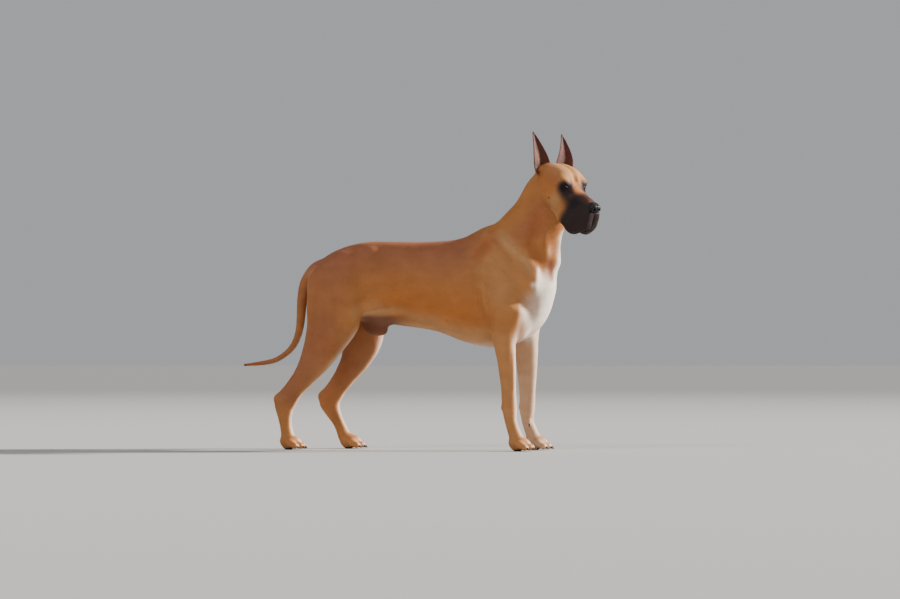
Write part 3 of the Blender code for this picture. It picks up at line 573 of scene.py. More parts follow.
def mark_head(lay, colours, head, on_head):
    """Mask, brows and cheeks."""
    half = on_one_side(head)
    hx, _, hz = half.T
    lay(colours.orange, 0.45 * near_line(half, ((-0.06, 0.08, -0.02), (-0.1, 0.08, -0.01)), 0.045))
    # Paler top of the skull, partly painted light on the brows and crown.
    lay(colours.sand, 0.75 * on_head * near_line(half, ((-0.1, 0.03, 0.06), (-0.03, 0.03, 0.05)), 0.055))
    lay(colours.saddle, 0.35 * near_line(half, ((-0.12, 0.06, 0.03), (-0.05, 0.06, 0.02)), 0.045))
    cheek = ((-0.02, 0.06, -0.045), (-0.03, 0.065, -0.08), (-0.01, 0.05, -0.12))
    lay(colours.sand, 0.65 * near_line(half, cheek, 0.04))

    # The mask: muzzle, round the eyes, below them and beside the bridge, and the mole on the cheek; round the eyes it
    # also covers painted shade under the brows, and beside the bridge it is partly painted shade.
    edge = 0.036 + 0.3 * (hz + 0.02)
    throat = rise(-hz - 0.4 * np.maximum(hx, 0), 0.15, 0.172) * (1 - rise(hx, 0.02, 0.05))
    lay(colours.mask, 0.96 * rise(hx - edge, -0.018, 0.024) * on_head * (1 - throat))
    # Mask round the eye, stretched up over painted shade under the brow.
    eye_and_brow_shade_distance = np.linalg.norm((half - np.array((0.003, 0.048, 0.006))) / (0.035, 0.04, 0.031), axis=1)
    lay(colours.mask, 0.95 * (1 - rise(eye_and_brow_shade_distance, 0.5, 1.2)))
    tear = ((-0.006, 0.05, -0.006), (0.016, 0.044, -0.028), (0.044, 0.036, -0.045))
    lay(colours.mask, 0.9 * near_line(half, tear, 0.042))
    # Mask beside the bridge, partly painted shade on the bridge's sides.
    inner = ((0.004, 0.038, 0.0), (0.034, 0.03, -0.012), (0.07, 0.03, -0.03))
    lay(colours.mask, 0.9 * near_line(half, inner, 0.026))
    lay(colours.mask, 0.8 * rise(near_line(head, ((-0.0471, -0.076, -0.0564),), 0.0075), 0.1, 0.5))
    # Lighter top of the bridge: partly the hair's own colour, partly a painted sheen.
    lay(colours.saddle, 0.25 * near_line(half, ((0.02, 0.012, 0.004), (0.105, 0.01, -0.004)), 0.032))


def mark_ears(lay, colours, head, facing, ear):
    half = on_one_side(head)
    facing_ahead = turned(facing, HEAD_ROTATION.inverted())[:, 0]
    along = np.array(EAR_TIP[1] - EAR_FOOT[1])
    share = (head - np.array(EAR_FOOT[1])) @ along / (along @ along)  # of the way up the ears
    inside = rise(facing_ahead, -0.05, 0.25) * rise(share, -0.1, 0.06)
    lay(colours.russet, 0.55 * ear * rise(share, -0.15, 0.1))
    lay(colours.ear, rise(ear, 0.15, 0.75) * 0.97 * inside)
    lay(colours.ear, 0.75 * ear * rise(share, 0.6, 0.95))
    stripe = near_line(half, ((-0.145, 0.058, 0.022), (-0.192, 0.066, 0.088)), 0.014)
    lay(colours.sand, 0.45 * ear * inside * stripe * (1 - rise(share, 0.22, 0.46)) * rise(share, 0.04, 0.14))
    # Darker foot inside the ear's cup, partly painted shade.
    lay(colours.mask, 0.75 * ear * inside * (1 - rise(share, 0.02, 0.16)))
    # Dark base in front of the ear's foot, partly painted shade.
    base = near_line(half, ((-0.138, 0.084, 0.018), (-0.144, 0.09, 0.038)), 0.026)
    lay(colours.mask, 0.8 * base * rise(facing_ahead, 0.0, 0.3))


NODE_COAT = {  # the way the coat lies, in the dog's frame, and shares of the body's tuft length and of its inset
    "head": (None, 0.46, 0.5),
    "jaw": (None, 0.42, 0.5),
    "ear": (None, 0.42, 0.25),
    "neck": ((-0.55, 0.0, -0.83), 0.95, 1.0),
    "chest": ((-0.8, 0.0, -0.6), 1.0, 1.0),
    "loin": ((-1.0, 0.0, -0.22), 1.0, 1.0),
    "rump": ((-0.85, 0.0, -0.52), 1.0, 1.0),
    "forearm": ((-0.1, 0.0, -1.0), 0.75, 1.0),
    "thigh": ((-0.5, 0.0, -0.86), 1.0, 1.0),
    "shank": ((-0.6, 0.0, -0.8), 0.78, 1.0),
    "fore_pastern": ((0.1, 0.0, -1.0), 0.62, 1.0),
    "hind_pastern": ((0.1, 0.0, -1.0), 0.62, 1.0),
    "fore_paw": ((0.9, 0.0, -0.45), 0.5, 0.5),
    "hind_paw": ((0.9, 0.0, -0.45), 0.5, 0.5),
    "tail_root": ((-0.15, 0.0, -1.0), 0.9, 1.0),
    "tail_middle": ((-0.65, 0.0, -0.75), 0.8, 1.0),
    "tail_tip": ((-1.0, 0.0, -0.15), 0.7, 0.5),
}
FINE_PLACES = (  # spots in the head's frame, reach and how much shorter the tufts get; mirrored
    (((-0.0035, 0.048, 0.0015),), 0.03, 0.62),
    (((0.125, 0.0, -0.03),), 0.05, 0.45),
    (((-0.01, 0.04, -0.125), (0.06, 0.038, -0.14), (0.13, 0.02, -0.12)), 0.026, 0.35),
    (((-0.02, 0.03, 0.0), (0.1, 0.02, -0.01)), 0.05, 0.25),
)


def node_coat(node):
    """The node's row of NODE_COAT, which has no sides."""
    return NODE_COAT[node.replace("_left", "").replace("_right", "")]


def nearest_nodes(points):
    """The number in FLESH of the solid nearest to each point."""
    corners, faces, owners = [], [], []
    for number, name in enumerate(FLESH):
        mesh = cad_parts[name].data
        base = len(corners)
        corners += [vert.co.copy() for vert in mesh.vertices]
        faces += [[base + i for i in face.vertices] for face in mesh.polygons]
        owners += [number] * len(mesh.polygons)
    tree = BVHTree.FromPolygons(corners, faces)
    return np.array([owners[tree.find_nearest(point)[2]] for point in points.tolist()])


def coat_lie(clay, owners, facing):
    """The way the coat lies at each point of the skin."""
    head = moved(clay.points, HEAD.inverted())
    lie = np.zeros_like(clay.points)
    for number, name in enumerate(FLESH):
        here = owners == number
        if name in ("head", "jaw"):
            away = head[here] - np.array((0.175, 0.0, -0.02))
            away[:, 2] *= 0.6
            lie[here] = turned(normalised(away), HEAD_ROTATION)
        elif name in EAR_NODES:
            side = SIDES[name.split("_")[1]]
            lie[here] = HEAD_ROTATION.to_3x3() @ (EAR_TIP[side] - EAR_FOOT[side]).normalized()
        else:
            lie[here] = node_coat(name)[0]
    body = moved(clay.points, BODY.inverted())
    front = rise(body[:, 0], 0.36, 0.46) * rise(body[:, 2], 0.4, 0.5) * (owners == FLESH.index("chest"))
    lie = lie * (1 - front[:, None]) + np.array((-0.12, 0.0, -1.0)) * front[:, None]
    for k in range(3):
        lie[:, k] = clay.spread(lie[:, k], 24)
    return normalised(lie - facing * (lie * facing).sum(1)[:, None])


# ---------------------------------------------------------------- materials


def shader_of(name, roughness, **sockets):
    """A new material and its Principled shader, with each uniform value on the shader's own socket."""
    made = bpy.data.materials.new(name)
    made.use_nodes = True
    shader = made.node_tree.nodes["Principled BSDF"]
    shader.inputs["Roughness"].default_value = roughness
    for socket, value in sockets.items():
        shader.inputs[socket.replace("_", " ")].default_value = value
    return made, shader


def add_node(tree, kind, feeds=(), **values):
    """A node with values for its settings and inputs, fed by pairs of an input and a socket."""
    node = tree.nodes.new(kind)
    for name, value in values.items():
        if hasattr(node, name):
            setattr(node, name, value)
        else:
            node.inputs[name.replace("_", " ")].default_value = value
    for name, source in feeds:
        tree.links.new(source, node.inputs[name])
    return node


def object_place(tree):
    return add_node(tree, "ShaderNodeTexCoord").outputs["Object"]


def noise(tree, scale, detail=3.0, stretch=(1, 1, 1)):
    """A noise texture on the object's own coordinates."""
    mapping = add_node(tree, "ShaderNodeMapping", (("Vector", object_place(tree)),), Scale=stretch)
    feeds = (("Vector", mapping.outputs["Vector"]),)
    return add_node(tree, "ShaderNodeTexNoise", feeds, Scale=scale, Detail=detail, Roughness=0.55).outputs["Fac"]


def ramp(tree, source, stops):
    """A colour ramp on a factor."""
    node = add_node(tree, "ShaderNodeValToRGB", (("Fac", source),))
    while len(node.color_ramp.elements) < len(stops):
        node.color_ramp.elements.new(0.5)
    for element, (position, value) in zip(node.color_ramp.elements, stops):
        element.position = position
        element.color = (*value, 1.0) if hasattr(value, "__len__") else (value, value, value, 1.0)
    return node.outputs["Color"]


def tint(tree, shader, source, low, high, value, times):
    """Colours the shader from a value to so many times that value."""
    shade = ramp(tree, source, ((low, value), (high, [v * times for v in value])))
    tree.links.new(shade, shader.inputs["Base Color"])


def multiplied(tree, first, second):
    """The product of two colours."""
    feeds = ((6, first), (7, second))
    return add_node(tree, "ShaderNodeMix", feeds, data_type="RGBA", blend_type="MULTIPLY", Factor=1.0).outputs[2]


def bump(tree, shader, height, strength, distance):
    node = add_node(tree, "ShaderNodeBump", (("Height", height),), Strength=strength, Distance=distance)
    tree.links.new(node.outputs["Normal"], shader.inputs["Normal"])


def coat_material(name, roughness, flecks, relief):
    """Fur in the markings' own colours, flecked lighter and darker."""
    made, shader = shader_of(name, roughness, Specular_IOR_Level=0.2, Sheen_Weight=0.05, Sheen_Roughness=0.4)
    tree = made.node_tree
    marks = add_node(tree, "ShaderNodeAttribute", attribute_name="markings")
    fine = noise(tree, 420, 2.0)
    wide = noise(tree, 14, 4.0, (1, 1, 1.6))
    fine_shade = ramp(tree, fine, ((0.3, 1 - flecks), (0.7, 1 + flecks * 0.6)))
    wide_shade = ramp(tree, wide, ((0.3, 0.88), (0.72, 1.08)))
    product = multiplied(tree, multiplied(tree, marks.outputs["Color"], fine_shade), wide_shade)
    tree.links.new(product, shader.inputs["Base Color"])
    if relief:
        bump(tree, shader, fine, 0.5, relief)
    return made


def leather_material(name, value, roughness, cell, relief, moist=0.15):
    """Dark, pebbled, slightly moist leather."""
    made, shader = shader_of(name, roughness, Specular_IOR_Level=0.26, Coat_Weight=moist, Coat_Roughness=0.3)
    tree = made.node_tree
    pebbles = add_node(tree, "ShaderNodeTexVoronoi", (("Vector", object_place(tree)),), Scale=cell, feature="SMOOTH_F1")
    tint(tree, shader, noise(tree, 160), 0.3, 0.75, value, 2.2)
    bump(tree, shader, pebbles.outputs["Distance"], 0.6, relief)
    return made


def horn_material(value):
    """Claw horn, streaked lighter and darker along its length."""
    made, shader = shader_of("claw_horn", 0.5, Specular_IOR_Level=0.3)
    tree = made.node_tree
    streaks = noise(tree, 240, 4.0, (0.25, 1, 1))
    tint(tree, shader, streaks, 0.25, 0.8, value, 2.4)
    bump(tree, shader, streaks, 0.3, 0.0003)
    return made


PUPIL = (0.0012, 0.0012, 0.0012)
EYE_RINGS = (  # share of the eye's radius, times and tone, where none is the iris's own
    (0.0, 1, PUPIL),
    (0.25, 1, PUPIL),
    (0.29, 0.8, None),
    (0.46, 1.5, None),
    (0.6, 0.8, None),
    (0.66, 1, (0.005, 0.003, 0.003)),
    (0.76, 1, (0.11, 0.06, 0.045)),
)


def eye_material(value, middle, gaze, name):
    """White, iris with fibres and pupil, by the distance from the gaze."""
    made, shader = shader_of(name, 0.05, Specular_IOR_Level=0.16)
    tree = made.node_tree
    feeds = (("Vector", object_place(tree)),)
    centred = add_node(tree, "ShaderNodeMapping", feeds, vector_type="TEXTURE", Location=middle)
    centred.inputs["Rotation"].default_value = gaze.to_track_quat("Z", "Y").to_euler()
    split = add_node(tree, "ShaderNodeSeparateXYZ", (("Vector", centred.outputs["Vector"]),))
    x, y = split.outputs["X"], split.outputs["Y"]
    flat = add_node(tree, "ShaderNodeCombineXYZ", (("X", x), ("Y", y)))
    reach = add_node(tree, "ShaderNodeVectorMath", ((0, flat.outputs["Vector"]),), operation="LENGTH")
    share = add_node(tree, "ShaderNodeMath", ((0, reach.outputs["Value"]),), operation="DIVIDE")
    share.inputs[1].default_value = EYE_RADIUS
    stops = [(at, [v * times for v in tone or value]) for at, times, tone in EYE_RINGS]
    rings = ramp(tree, share.outputs["Value"], stops)
    angle = add_node(tree, "ShaderNodeMath", ((0, y), (1, x)), operation="ARCTAN2")
    spokes = add_node(tree, "ShaderNodeCombineXYZ", (("X", angle.outputs["Value"]),))
    fibre = add_node(tree, "ShaderNodeTexNoise", (("Vector", spokes.outputs["Vector"]),), Scale=9.0, Detail=3.0)
    dark = ramp(tree, fibre.outputs["Fac"], ((0.35, 0.62), (0.65, 1.15)))
    tree.links.new(multiplied(tree, rings, dark), shader.inputs["Base Color"])
    return made


# ---------------------------------------------------------------- skin

EVEN_ROUNDS = (  # nodes, rounds of smoothing
    (TRUNK_NODES, 110),
    (LEG_NODES, 60),
    (PASTERN_NODES, 30),
    (TAIL_NODES, 14),
    (("head", "jaw"), 9),
    (PAW_NODES, 5),
    (EAR_NODES, 2),
)
BODY_STROKES = (  # places on the left, reach, height; mirrored
    # Front edge of the blade.
    (((0.285, 0.09, 0.845), (0.339, 0.1, 0.786), (0.405, 0.095, 0.74), (0.446, 0.085, 0.705)), 0.024, 0.005),
    (((0.452, 0.095, 0.69), (0.448, 0.107, 0.64)), 0.026, 0.0055),  # point of the shoulder
    # Hollow before the shoulder.
    (((0.462, 0.07, 0.93), (0.438, 0.085, 0.84), (0.432, 0.09, 0.79), (0.462, 0.08, 0.745)), 0.03, -0.005),
    (((0.495, 0.055, 0.92), (0.478, 0.065, 0.84), (0.484, 0.055, 0.76)), 0.02, 0.003),  # strap of the neck
    (((0.505, 0.035, 0.86), (0.498, 0.04, 0.76), (0.494, 0.045, 0.7)), 0.018, -0.003),  # groove of the throat
    (((0.262, 0.085, 0.835), (0.3, 0.105, 0.76), (0.365, 0.118, 0.68)), 0.026, 0.0034),  # spine of the blade
    (((0.315, 0.1, 0.8), (0.365, 0.112, 0.73), (0.41, 0.115, 0.68)), 0.02, -0.0026),  # below the spine
    (((0.238, 0.1, 0.79), (0.222, 0.12, 0.7), (0.222, 0.12, 0.62)), 0.03, -0.0034),  # behind the blade
    (((0.246, 0.12, 0.64), (0.256, 0.115, 0.56), (0.282, 0.11, 0.49)), 0.016, 0.0032),  # back of the triceps
    (((0.226, 0.12, 0.62), (0.24, 0.115, 0.55), (0.262, 0.108, 0.48)), 0.016, -0.004),  # behind the triceps
    (((0.4, 0.12, 0.63), (0.345, 0.13, 0.56), (0.33, 0.13, 0.5)), 0.022, -0.0026),  # front of the triceps
    (((0.4, 0.12, 0.6), (0.385, 0.125, 0.5), (0.378, 0.12, 0.43)), 0.02, 0.002),  # upper arm
    (((-0.215, 0.075, 0.78), (-0.225, 0.085, 0.765)), 0.034, 0.0055),  # hip bone
    (((-0.13, 0.085, 0.745), (-0.155, 0.095, 0.66)), 0.062, -0.006),  # hollow of the flank
    (((-0.285, 0.1, 0.745), (-0.33, 0.115, 0.69)), 0.05, -0.003),  # behind the hip bone
    (((-0.385, 0.09, 0.74), (-0.4, 0.11, 0.66)), 0.05, 0.003),  # top of the thigh
    (((-0.265, 0.115, 0.5), (-0.225, 0.105, 0.545), (-0.165, 0.09, 0.56)), 0.016, 0.0036),  # fold of the flank
    (((-0.235, 0.08, 0.505), (-0.19, 0.08, 0.528), (-0.115, 0.085, 0.52), (-0.02, 0.085, 0.497)), 0.022, -0.0075),
    (((-0.35, 0.14, 0.66), (-0.342, 0.142, 0.56), (-0.33, 0.138, 0.48)), 0.022, -0.0024),  # grooves of the thigh
    (((-0.425, 0.14, 0.64), (-0.432, 0.135, 0.54), (-0.44, 0.125, 0.46)), 0.022, -0.003),
    (((-0.06, 0.0, 0.83), (0.15, 0.0, 0.84)), 0.02, -0.0018),  # furrow along the back
    (((-0.245, 0.015, 0.48), (-0.175, 0.015, 0.47)), 0.028, -0.005),  # sides of the sheath
    (((0.517, 0.0, 0.8), (0.517, 0.0, 0.772)), 0.034, 0.0035),  # front of the neck
    (((0.528, 0.0, 0.738),), 0.032, -0.0028),  # foot of the neck
)
SIDE_STROKES = (  # places, reach, height, side: each leg stands differently
    # Hollows before the hock tendons, outside and inside.
    (((-0.452, 0.125, 0.35), (-0.49, 0.118, 0.285), (-0.525, 0.112, 0.24)), 0.013, -0.0042, -1),
    (((-0.47, 0.07, 0.33), (-0.5, 0.075, 0.27), (-0.528, 0.076, 0.235)), 0.012, -0.0036, -1),
    (((-0.34, 0.125, 0.36), (-0.375, 0.118, 0.295), (-0.405, 0.112, 0.25)), 0.013, -0.0042, 1),
    (((-0.35, 0.07, 0.34), (-0.385, 0.075, 0.28), (-0.41, 0.076, 0.24)), 0.012, -0.0036, 1),
    (((-0.55, 0.12, 0.2),), 0.016, 0.003, -1),  # ankle bones
    (((-0.427, 0.12, 0.207),), 0.016, 0.003, 1),
    (((-0.606, 0.095, 0.208),), 0.034, 0.009, -1),  # points of the hocks
    (((-0.484, 0.095, 0.215),), 0.034, 0.009, 1),
    (((0.364, 0.073, 0.118), (0.36, 0.073, 0.102)), 0.012, 0.0045, -1),  # dewclaws
    (((0.384, 0.073, 0.118), (0.38, 0.073, 0.102)), 0.012, 0.0045, 1),
    (((-0.306, 0.11, 0.462),), 0.034, 0.003, -1),  # kneecaps
    (((-0.232, 0.11, 0.47),), 0.034, 0.003, 1),
    (((0.313, 0.095, 0.168),), 0.016, 0.0052, -1),  # pads behind the wrists
    (((0.337, 0.095, 0.168),), 0.016, 0.0052, 1),
    (((0.352, 0.118, 0.42), (0.356, 0.118, 0.33), (0.356, 0.112, 0.24)), 0.014, -0.0024, -1),  # grooves of the forearms
    (((0.38, 0.118, 0.42), (0.384, 0.118, 0.33), (0.382, 0.112, 0.24)), 0.014, -0.0024, 1),
    (((0.296, 0.112, 0.452),), 0.022, 0.004, -1),  # elbows
    (((0.312, 0.112, 0.452),), 0.022, 0.004, 1),
)
RIBS = 8
FIRST_RIB = 0.19  # its place along the dog
RIB_STEP = 0.042
SOFT_LINES = (  # frame, places, reach and rounds of smoothing
    (HEAD, ((-0.01, 0.034, 0.028), (-0.01, -0.034, 0.028)), 0.05, 20),  # brows
    (BODY, ((-0.43, 0.0, 0.755), (-0.49, 0.0, 0.7)), 0.06, 70),  # seat of the tail
    (BODY, ((-0.265, 0.0, 0.49), (-0.225, 0.0, 0.48)), 0.06, 40),  # back of the sheath
    (BODY, ((0.5, -0.02, 0.86), (0.515, -0.02, 0.78), (0.512, -0.02, 0.7)), 0.09, 60),  # front of the throat
    (HEAD, ((0.144, 0.0, -0.052), (0.148, 0.0, -0.085), (0.138, 0.0, -0.118)), 0.018, 16),  # middle of the lips
)
HEAD_STROKES = (  # places on the left, reach, height; mirrored
    (((-0.15, 0.0, 0.066), (-0.06, 0.0, 0.063), (-0.01, 0.0, 0.036)), 0.019, -0.002),  # furrow of the skull
    (((0.116, 0.008, -0.002), (0.128, 0.008, -0.006)), 0.022, -0.004),  # seat of the nose leather
    (((-0.012, 0.012, 0.04), (0.006, 0.018, 0.02)), 0.014, 0.0018),  # each side of the furrow
    (((-0.045, 0.062, 0.018), (-0.085, 0.076, 0.008)), 0.024, -0.003),  # temple
    (((-0.03, 0.062, -0.024), (-0.07, 0.076, -0.03), (-0.11, 0.076, -0.028)), 0.02, 0.0024),  # cheekbone
    (((0.008, 0.048, -0.026), (0.036, 0.044, -0.04), (0.07, 0.042, -0.05)), 0.018, -0.002),  # below the eye
    (((0.004, 0.026, 0.008), (0.05, 0.022, 0.0), (0.11, 0.02, -0.002)), 0.012, 0.0012),  # edge of the bridge
    (((-0.03, 0.044, -0.09), (-0.01, 0.046, -0.112), (0.01, 0.046, -0.128)), 0.014, -0.0026),  # mouth's corner
    (((-0.046, 0.046, -0.094), (-0.026, 0.048, -0.122)), 0.012, 0.0022),  # behind the mouth
    (((-0.05, 0.06, -0.08), (-0.08, 0.068, -0.1)), 0.022, -0.0018),  # below the cheek
    (((0.112, 0.038, -0.046), (0.08, 0.046, -0.07), (0.046, 0.05, -0.104)), 0.014, -0.0016),  # fold of the flew
    (((0.02, 0.046, -0.14), (0.062, 0.048, -0.15), (0.105, 0.042, -0.136)), 0.012, 0.0016),  # edge of the flew
    (((0.118, 0.03, -0.058), (0.14, 0.024, -0.062)), 0.024, 0.0018),  # whisker pad
    (((-0.13, 0.072, -0.006), (-0.14, 0.076, -0.036)), 0.016, -0.0028),  # in front of the ear's foot
    (((-0.016, 0.04, 0.026), (-0.042, 0.056, 0.028)), 0.013, 0.0014),  # edge of the brow
    (((0.004, 0.03, 0.006), (0.012, 0.03, -0.014)), 0.01, -0.0022),  # inner corner of the eye
)
LID_CREASES = (  # first and last angle round the eye, half width, half height, reach and height
    (10, 170, 0.0165, 0.0122, 0.004, -0.0016),
    (15, 165, 0.0175, 0.0165, 0.006, 0.0014),
    (200, 340, 0.016, 0.0122, 0.004, -0.0013),
    (205, 335, 0.0175, 0.0175, 0.006, 0.001),
)
HEAD_KEEP = 0.42  # share of the plain head's triangles that is kept
FINE_SPOTS = (  # lines in the head's frame and reach of the skin's finer faces; mirrored
    (((-0.004, 0.052, 0.003),), 0.034),
    (((0.0, 0.044, -0.125), (0.06, 0.046, -0.15), (0.11, 0.04, -0.14), (0.145, 0.012, -0.11)), 0.026),
    (((0.14, 0.0, -0.03), (0.148, 0.0, -0.09)), 0.034),
)


def joined_solids():
    """A merged copy of the solids that the skin goes round."""
    copies = []
    for name in FLESH + FILLING:
        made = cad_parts[name].copy()
        made.data = made.data.copy()
        for key in list(made.keys()):
            del made[key]
        made.parent = None
        bpy.context.scene.collection.objects.link(made)
        copies.append(made)
    return weld(joined("skin", copies))


def refined(skin):
    """Halves the faces of the skin where the eyes, the lips and the nose need it."""
    near = fine_share(points_of(skin.data))
    take(skin)
    bpy.ops.object.mode_set(mode="EDIT")
    bpy.ops.mesh.select_all(action="DESELECT")
    bpy.ops.mesh.select_mode(type="VERT")
    bpy.ops.object.mode_set(mode="OBJECT")
    skin.data.vertices.foreach_set("select", near > 0)
    bpy.ops.object.mode_set(mode="EDIT")
    bpy.ops.mesh.subdivide(number_cuts=1)
    bpy.ops.object.mode_set(mode="OBJECT")
    return skin


def shares(owners, names):
    numbers = [FLESH.index(name) for name in names]
    return np.isin(owners, numbers).astype(float)


def eye_frame(side):
    """A frame at the eyeball's middle: x along the gaze, y to the eye's outer corner on the left, z up."""
    return HEAD @ Matrix.Translation((EYE.x, EYE.y * side, EYE.z)) @ turn(GAZE_OUT * side, "Z")


def almond(count, grow=0.0):
    """The edge of the lids as (across, up) shares, pointed at both corners."""
    points = []
    for i in range(count):
        angle = 2 * math.pi * i / count
        up = math.sin(angle) * abs(math.sin(angle)) ** 0.3
        points.append(((OPENING[0] + grow) * math.cos(angle), (OPENING[1] + grow) * up))
    return points


def sculpt_skin(clay, owners):
    for names, rounds in EVEN_ROUNDS:
        clay.even_out(rounds, clay.spread(shares(owners, names), 6))
    for spots, reach, height in BODY_STROKES:
        clay.stroke(spots, reach, height, BODY)
    for spots, reach, height, side in SIDE_STROKES:
        clay.stroke(spots, reach, height, BODY, (side,))
    for i in range(RIBS):
        x = FIRST_RIB - RIB_STEP * i
        rib = ((x, 0.12, 0.74), (x - 0.018, 0.13, 0.64), (x - 0.01, 0.12, 0.54), (x + 0.03, 0.09, 0.47))
        clay.stroke(rib, 0.014, 0.0011, BODY)
    clay.relax(10, clay.spread(shares(owners, (*TRUNK_NODES, *LEG_NODES)), 4))
    for place, spots, reach, rounds in SOFT_LINES:
        clay.soften(spots, reach, rounds, place)
    wrap_eyes(clay)
    for spots, reach, height in HEAD_STROKES:
        clay.stroke(spots, reach, height, HEAD)
    part_lips(clay, owners)
    clay.relax(2, clay.spread(shares(owners, ("head", "jaw")), 4))
    for side in SIDES.values():
        for low, high, across, up, reach, height in LID_CREASES:
            arc = np.linspace(math.radians(low), math.radians(high), 9)
            local = [(0.011, across * math.cos(angle), up * math.sin(angle)) for angle in arc]
            crease = placed(local, HEAD.inverted() @ eye_frame(side))
            clay.stroke(crease, reach, height, HEAD, (1,))
    inset = np.array([node_coat(name)[2] for name in FLESH])[owners]
    clay.points -= clay.normals() * (clay.spread(inset, 8) * bpy.context.scene.dane_sizes.inset)[:, None]
    clear_claws(clay)
    flatten_soles(clay)
    clay.write()


def wrap_eyes(clay):
    """Lays the skin round each eyeball, where the lids are."""
    for side in SIDES.values():
        place = eye_frame(side)
        local = moved(clay.points, place.inverted())
        far = np.linalg.norm(local, axis=1, keepdims=True)
        near = (1 - rise(np.hypot(local[:, 1], local[:, 2]), 0.0125, 0.023)) * (local[:, 0] > 0) * (far[:, 0] < 0.03)
        local += (local / far * (EYE_RADIUS + LID) - local) * (0.95 * near)[:, None]
        clay.points = moved(local, place)


def part_lips(clay, owners):
    """Sinks the line of the mouth, rolls the lips over it, and makes the furrow below the nose."""
    jaw = clay.spread(shares(owners, ("jaw",)), 3)
    hx, hy, hz = moved(clay.points, HEAD.inverted()).T
    ahead = rise(hx, -0.03, 0.0)
    line = 4 * jaw * (1 - jaw)
    roll = rise(jaw, 0.01, 0.1) * (1 - rise(jaw, 0.2, 0.45))
    furrow = np.exp(-((hy / 0.0024) ** 2)) * rise(hx, 0.115, 0.13) * rise(-hz, 0.036, 0.046)
    height = 0.0016 * roll * ahead - 0.006 * line**2 * ahead - 0.0012 * furrow * (1 - rise(-hz, 0.112, 0.13))
    clay.points += clay.normals() * height[:, None]
    clay.points -= np.array(HEAD_ROTATION.col[0])[:3] * (0.0075 * under_nose(clay.points))[:, None]


def under_nose(points):
    """1 where the nose leather covers the skin, 0 elsewhere."""
    hx, hy, hz = moved(points, HEAD.inverted()).T
    return rise(hx, 0.11, 0.123) * (1 - rise(np.abs(hy), 0.0215, 0.0275)) * rise(hz, -0.0465, -0.0395)


def paw_frame(name):
    x, y, outwards = PAWS[name]
    return BODY @ Matrix.Translation((x, y, 0.0)) @ turn(math.copysign(outwards, y), "Z")


def clear_claws(clay):
    """Rounds off the toes where the claws will stand."""
    for name in PAWS:
        for side in SIDES.values():
            for x, y, z in CLAW_ROOTS:
                clay.soften(((x + 0.01, y, z - 0.002),), 0.015, 14, paw_frame(name), side)


def flatten_soles(clay):
    """Keeps the pads on the floor."""
    low = clay.points[:, 2] < 0.0022
    clay.points[low, 2] = 0.0


def open_lids(skin):
    """Cuts the almond between the lids, back to the eyeball."""
    outline = almond(28)
    for side in SIDES.values():
        place = eye_frame(side)
        rings = []
        for depth, grow in ((0.004, 0.95), (0.012, 1.0), (0.03, 1.04)):
            rings += [place @ Vector((depth, y * grow, z * grow)) for y, z in outline]
        faces = ends_of(3, len(outline)) + sleeve(3, len(outline))
        cut(skin, weld(add_mesh("cutter", rings, faces), 1e-7))


def fine_share(points):
    """More than 0 where the skin keeps its finest faces."""
    near = np.zeros(len(points))
    for spots, reach in FINE_SPOTS:
        for side in SIDES.values():
            near = np.maximum(near, near_line(points, placed(spots, HEAD, side), reach))
    return near


def thin_out(skin, owners, triangles):
    """Decimates the plain parts of the head and paws to a share, then the rest down to this many triangles."""
    clay = Clay(skin)
    detailed = ("head", "jaw", *PAW_NODES)
    head = clay.spread(shares(owners, detailed), 3) * (fine_share(clay.points) == 0)
    body = clay.spread(1 - shares(owners, (*detailed, *EAR_NODES)), 3)
    corners = triangles_of(skin.data)
    total = len(corners)
    for name, plain in (("head", head), ("body", body)):
        group = skin.vertex_groups.new(name=name)
        for level in range(11):
            group.add(np.flatnonzero(np.rint(plain * 10) == level).tolist(), level / 10, "REPLACE")
        inside = np.count_nonzero(plain[corners].min(1) > 0.95)
        gone = inside * (1 - HEAD_KEEP) if name == "head" else max(total - triangles, 0)
        modifier = skin.modifiers.new(name, "DECIMATE")
        modifier.ratio = 1 - gone / total
        modifier.vertex_group = name
        modifier.vertex_group_factor = 1.0
        modifier.use_collapse_triangulate = True
        total -= gone
    apply_modifiers(skin)
    skin.vertex_groups.clear()


class DANE_OT_skin(Operator):
    """One skin over the whole dog, smoothed, sculpted and opened for the eyes"""

    bl_idname = "dane.skin"
    bl_label = "Skin"

    def execute(self, context):
        sizes, colours = context.scene.dane_sizes, context.scene.dane_colours
        skin = refined(remesh(joined_solids(), sizes.grain))
        clay = Clay(skin)
        owners = nearest_nodes(clay.points)
        sculpt_skin(clay, owners)
        thin_out(skin, owners, sizes.skin_triangles)
        open_lids(skin)
        clay = Clay(skin)
        facing = clay.normals()
        owners = nearest_nodes(clay.points)
        ear = clay.spread(shares(owners, EAR_NODES), 6)
        store(skin.data, "owner", "FLOAT", owners)
        store(skin.data, "ear", "FLOAT", ear)
        store(skin.data, "lie", "FLOAT_VECTOR", coat_lie(clay, owners, facing))
        shade = markings(clay.points, facing, ear, colours)
        store(skin.data, "markings", "FLOAT_COLOR", np.column_stack([shade, np.ones(len(shade))]))
        finish(skin, coat_material("coat_skin", 0.62, 0.1, 0.0006), FLESH)
        return {"FINISHED"}


# ---------------------------------------------------------------- eyes, lids, nose, lips


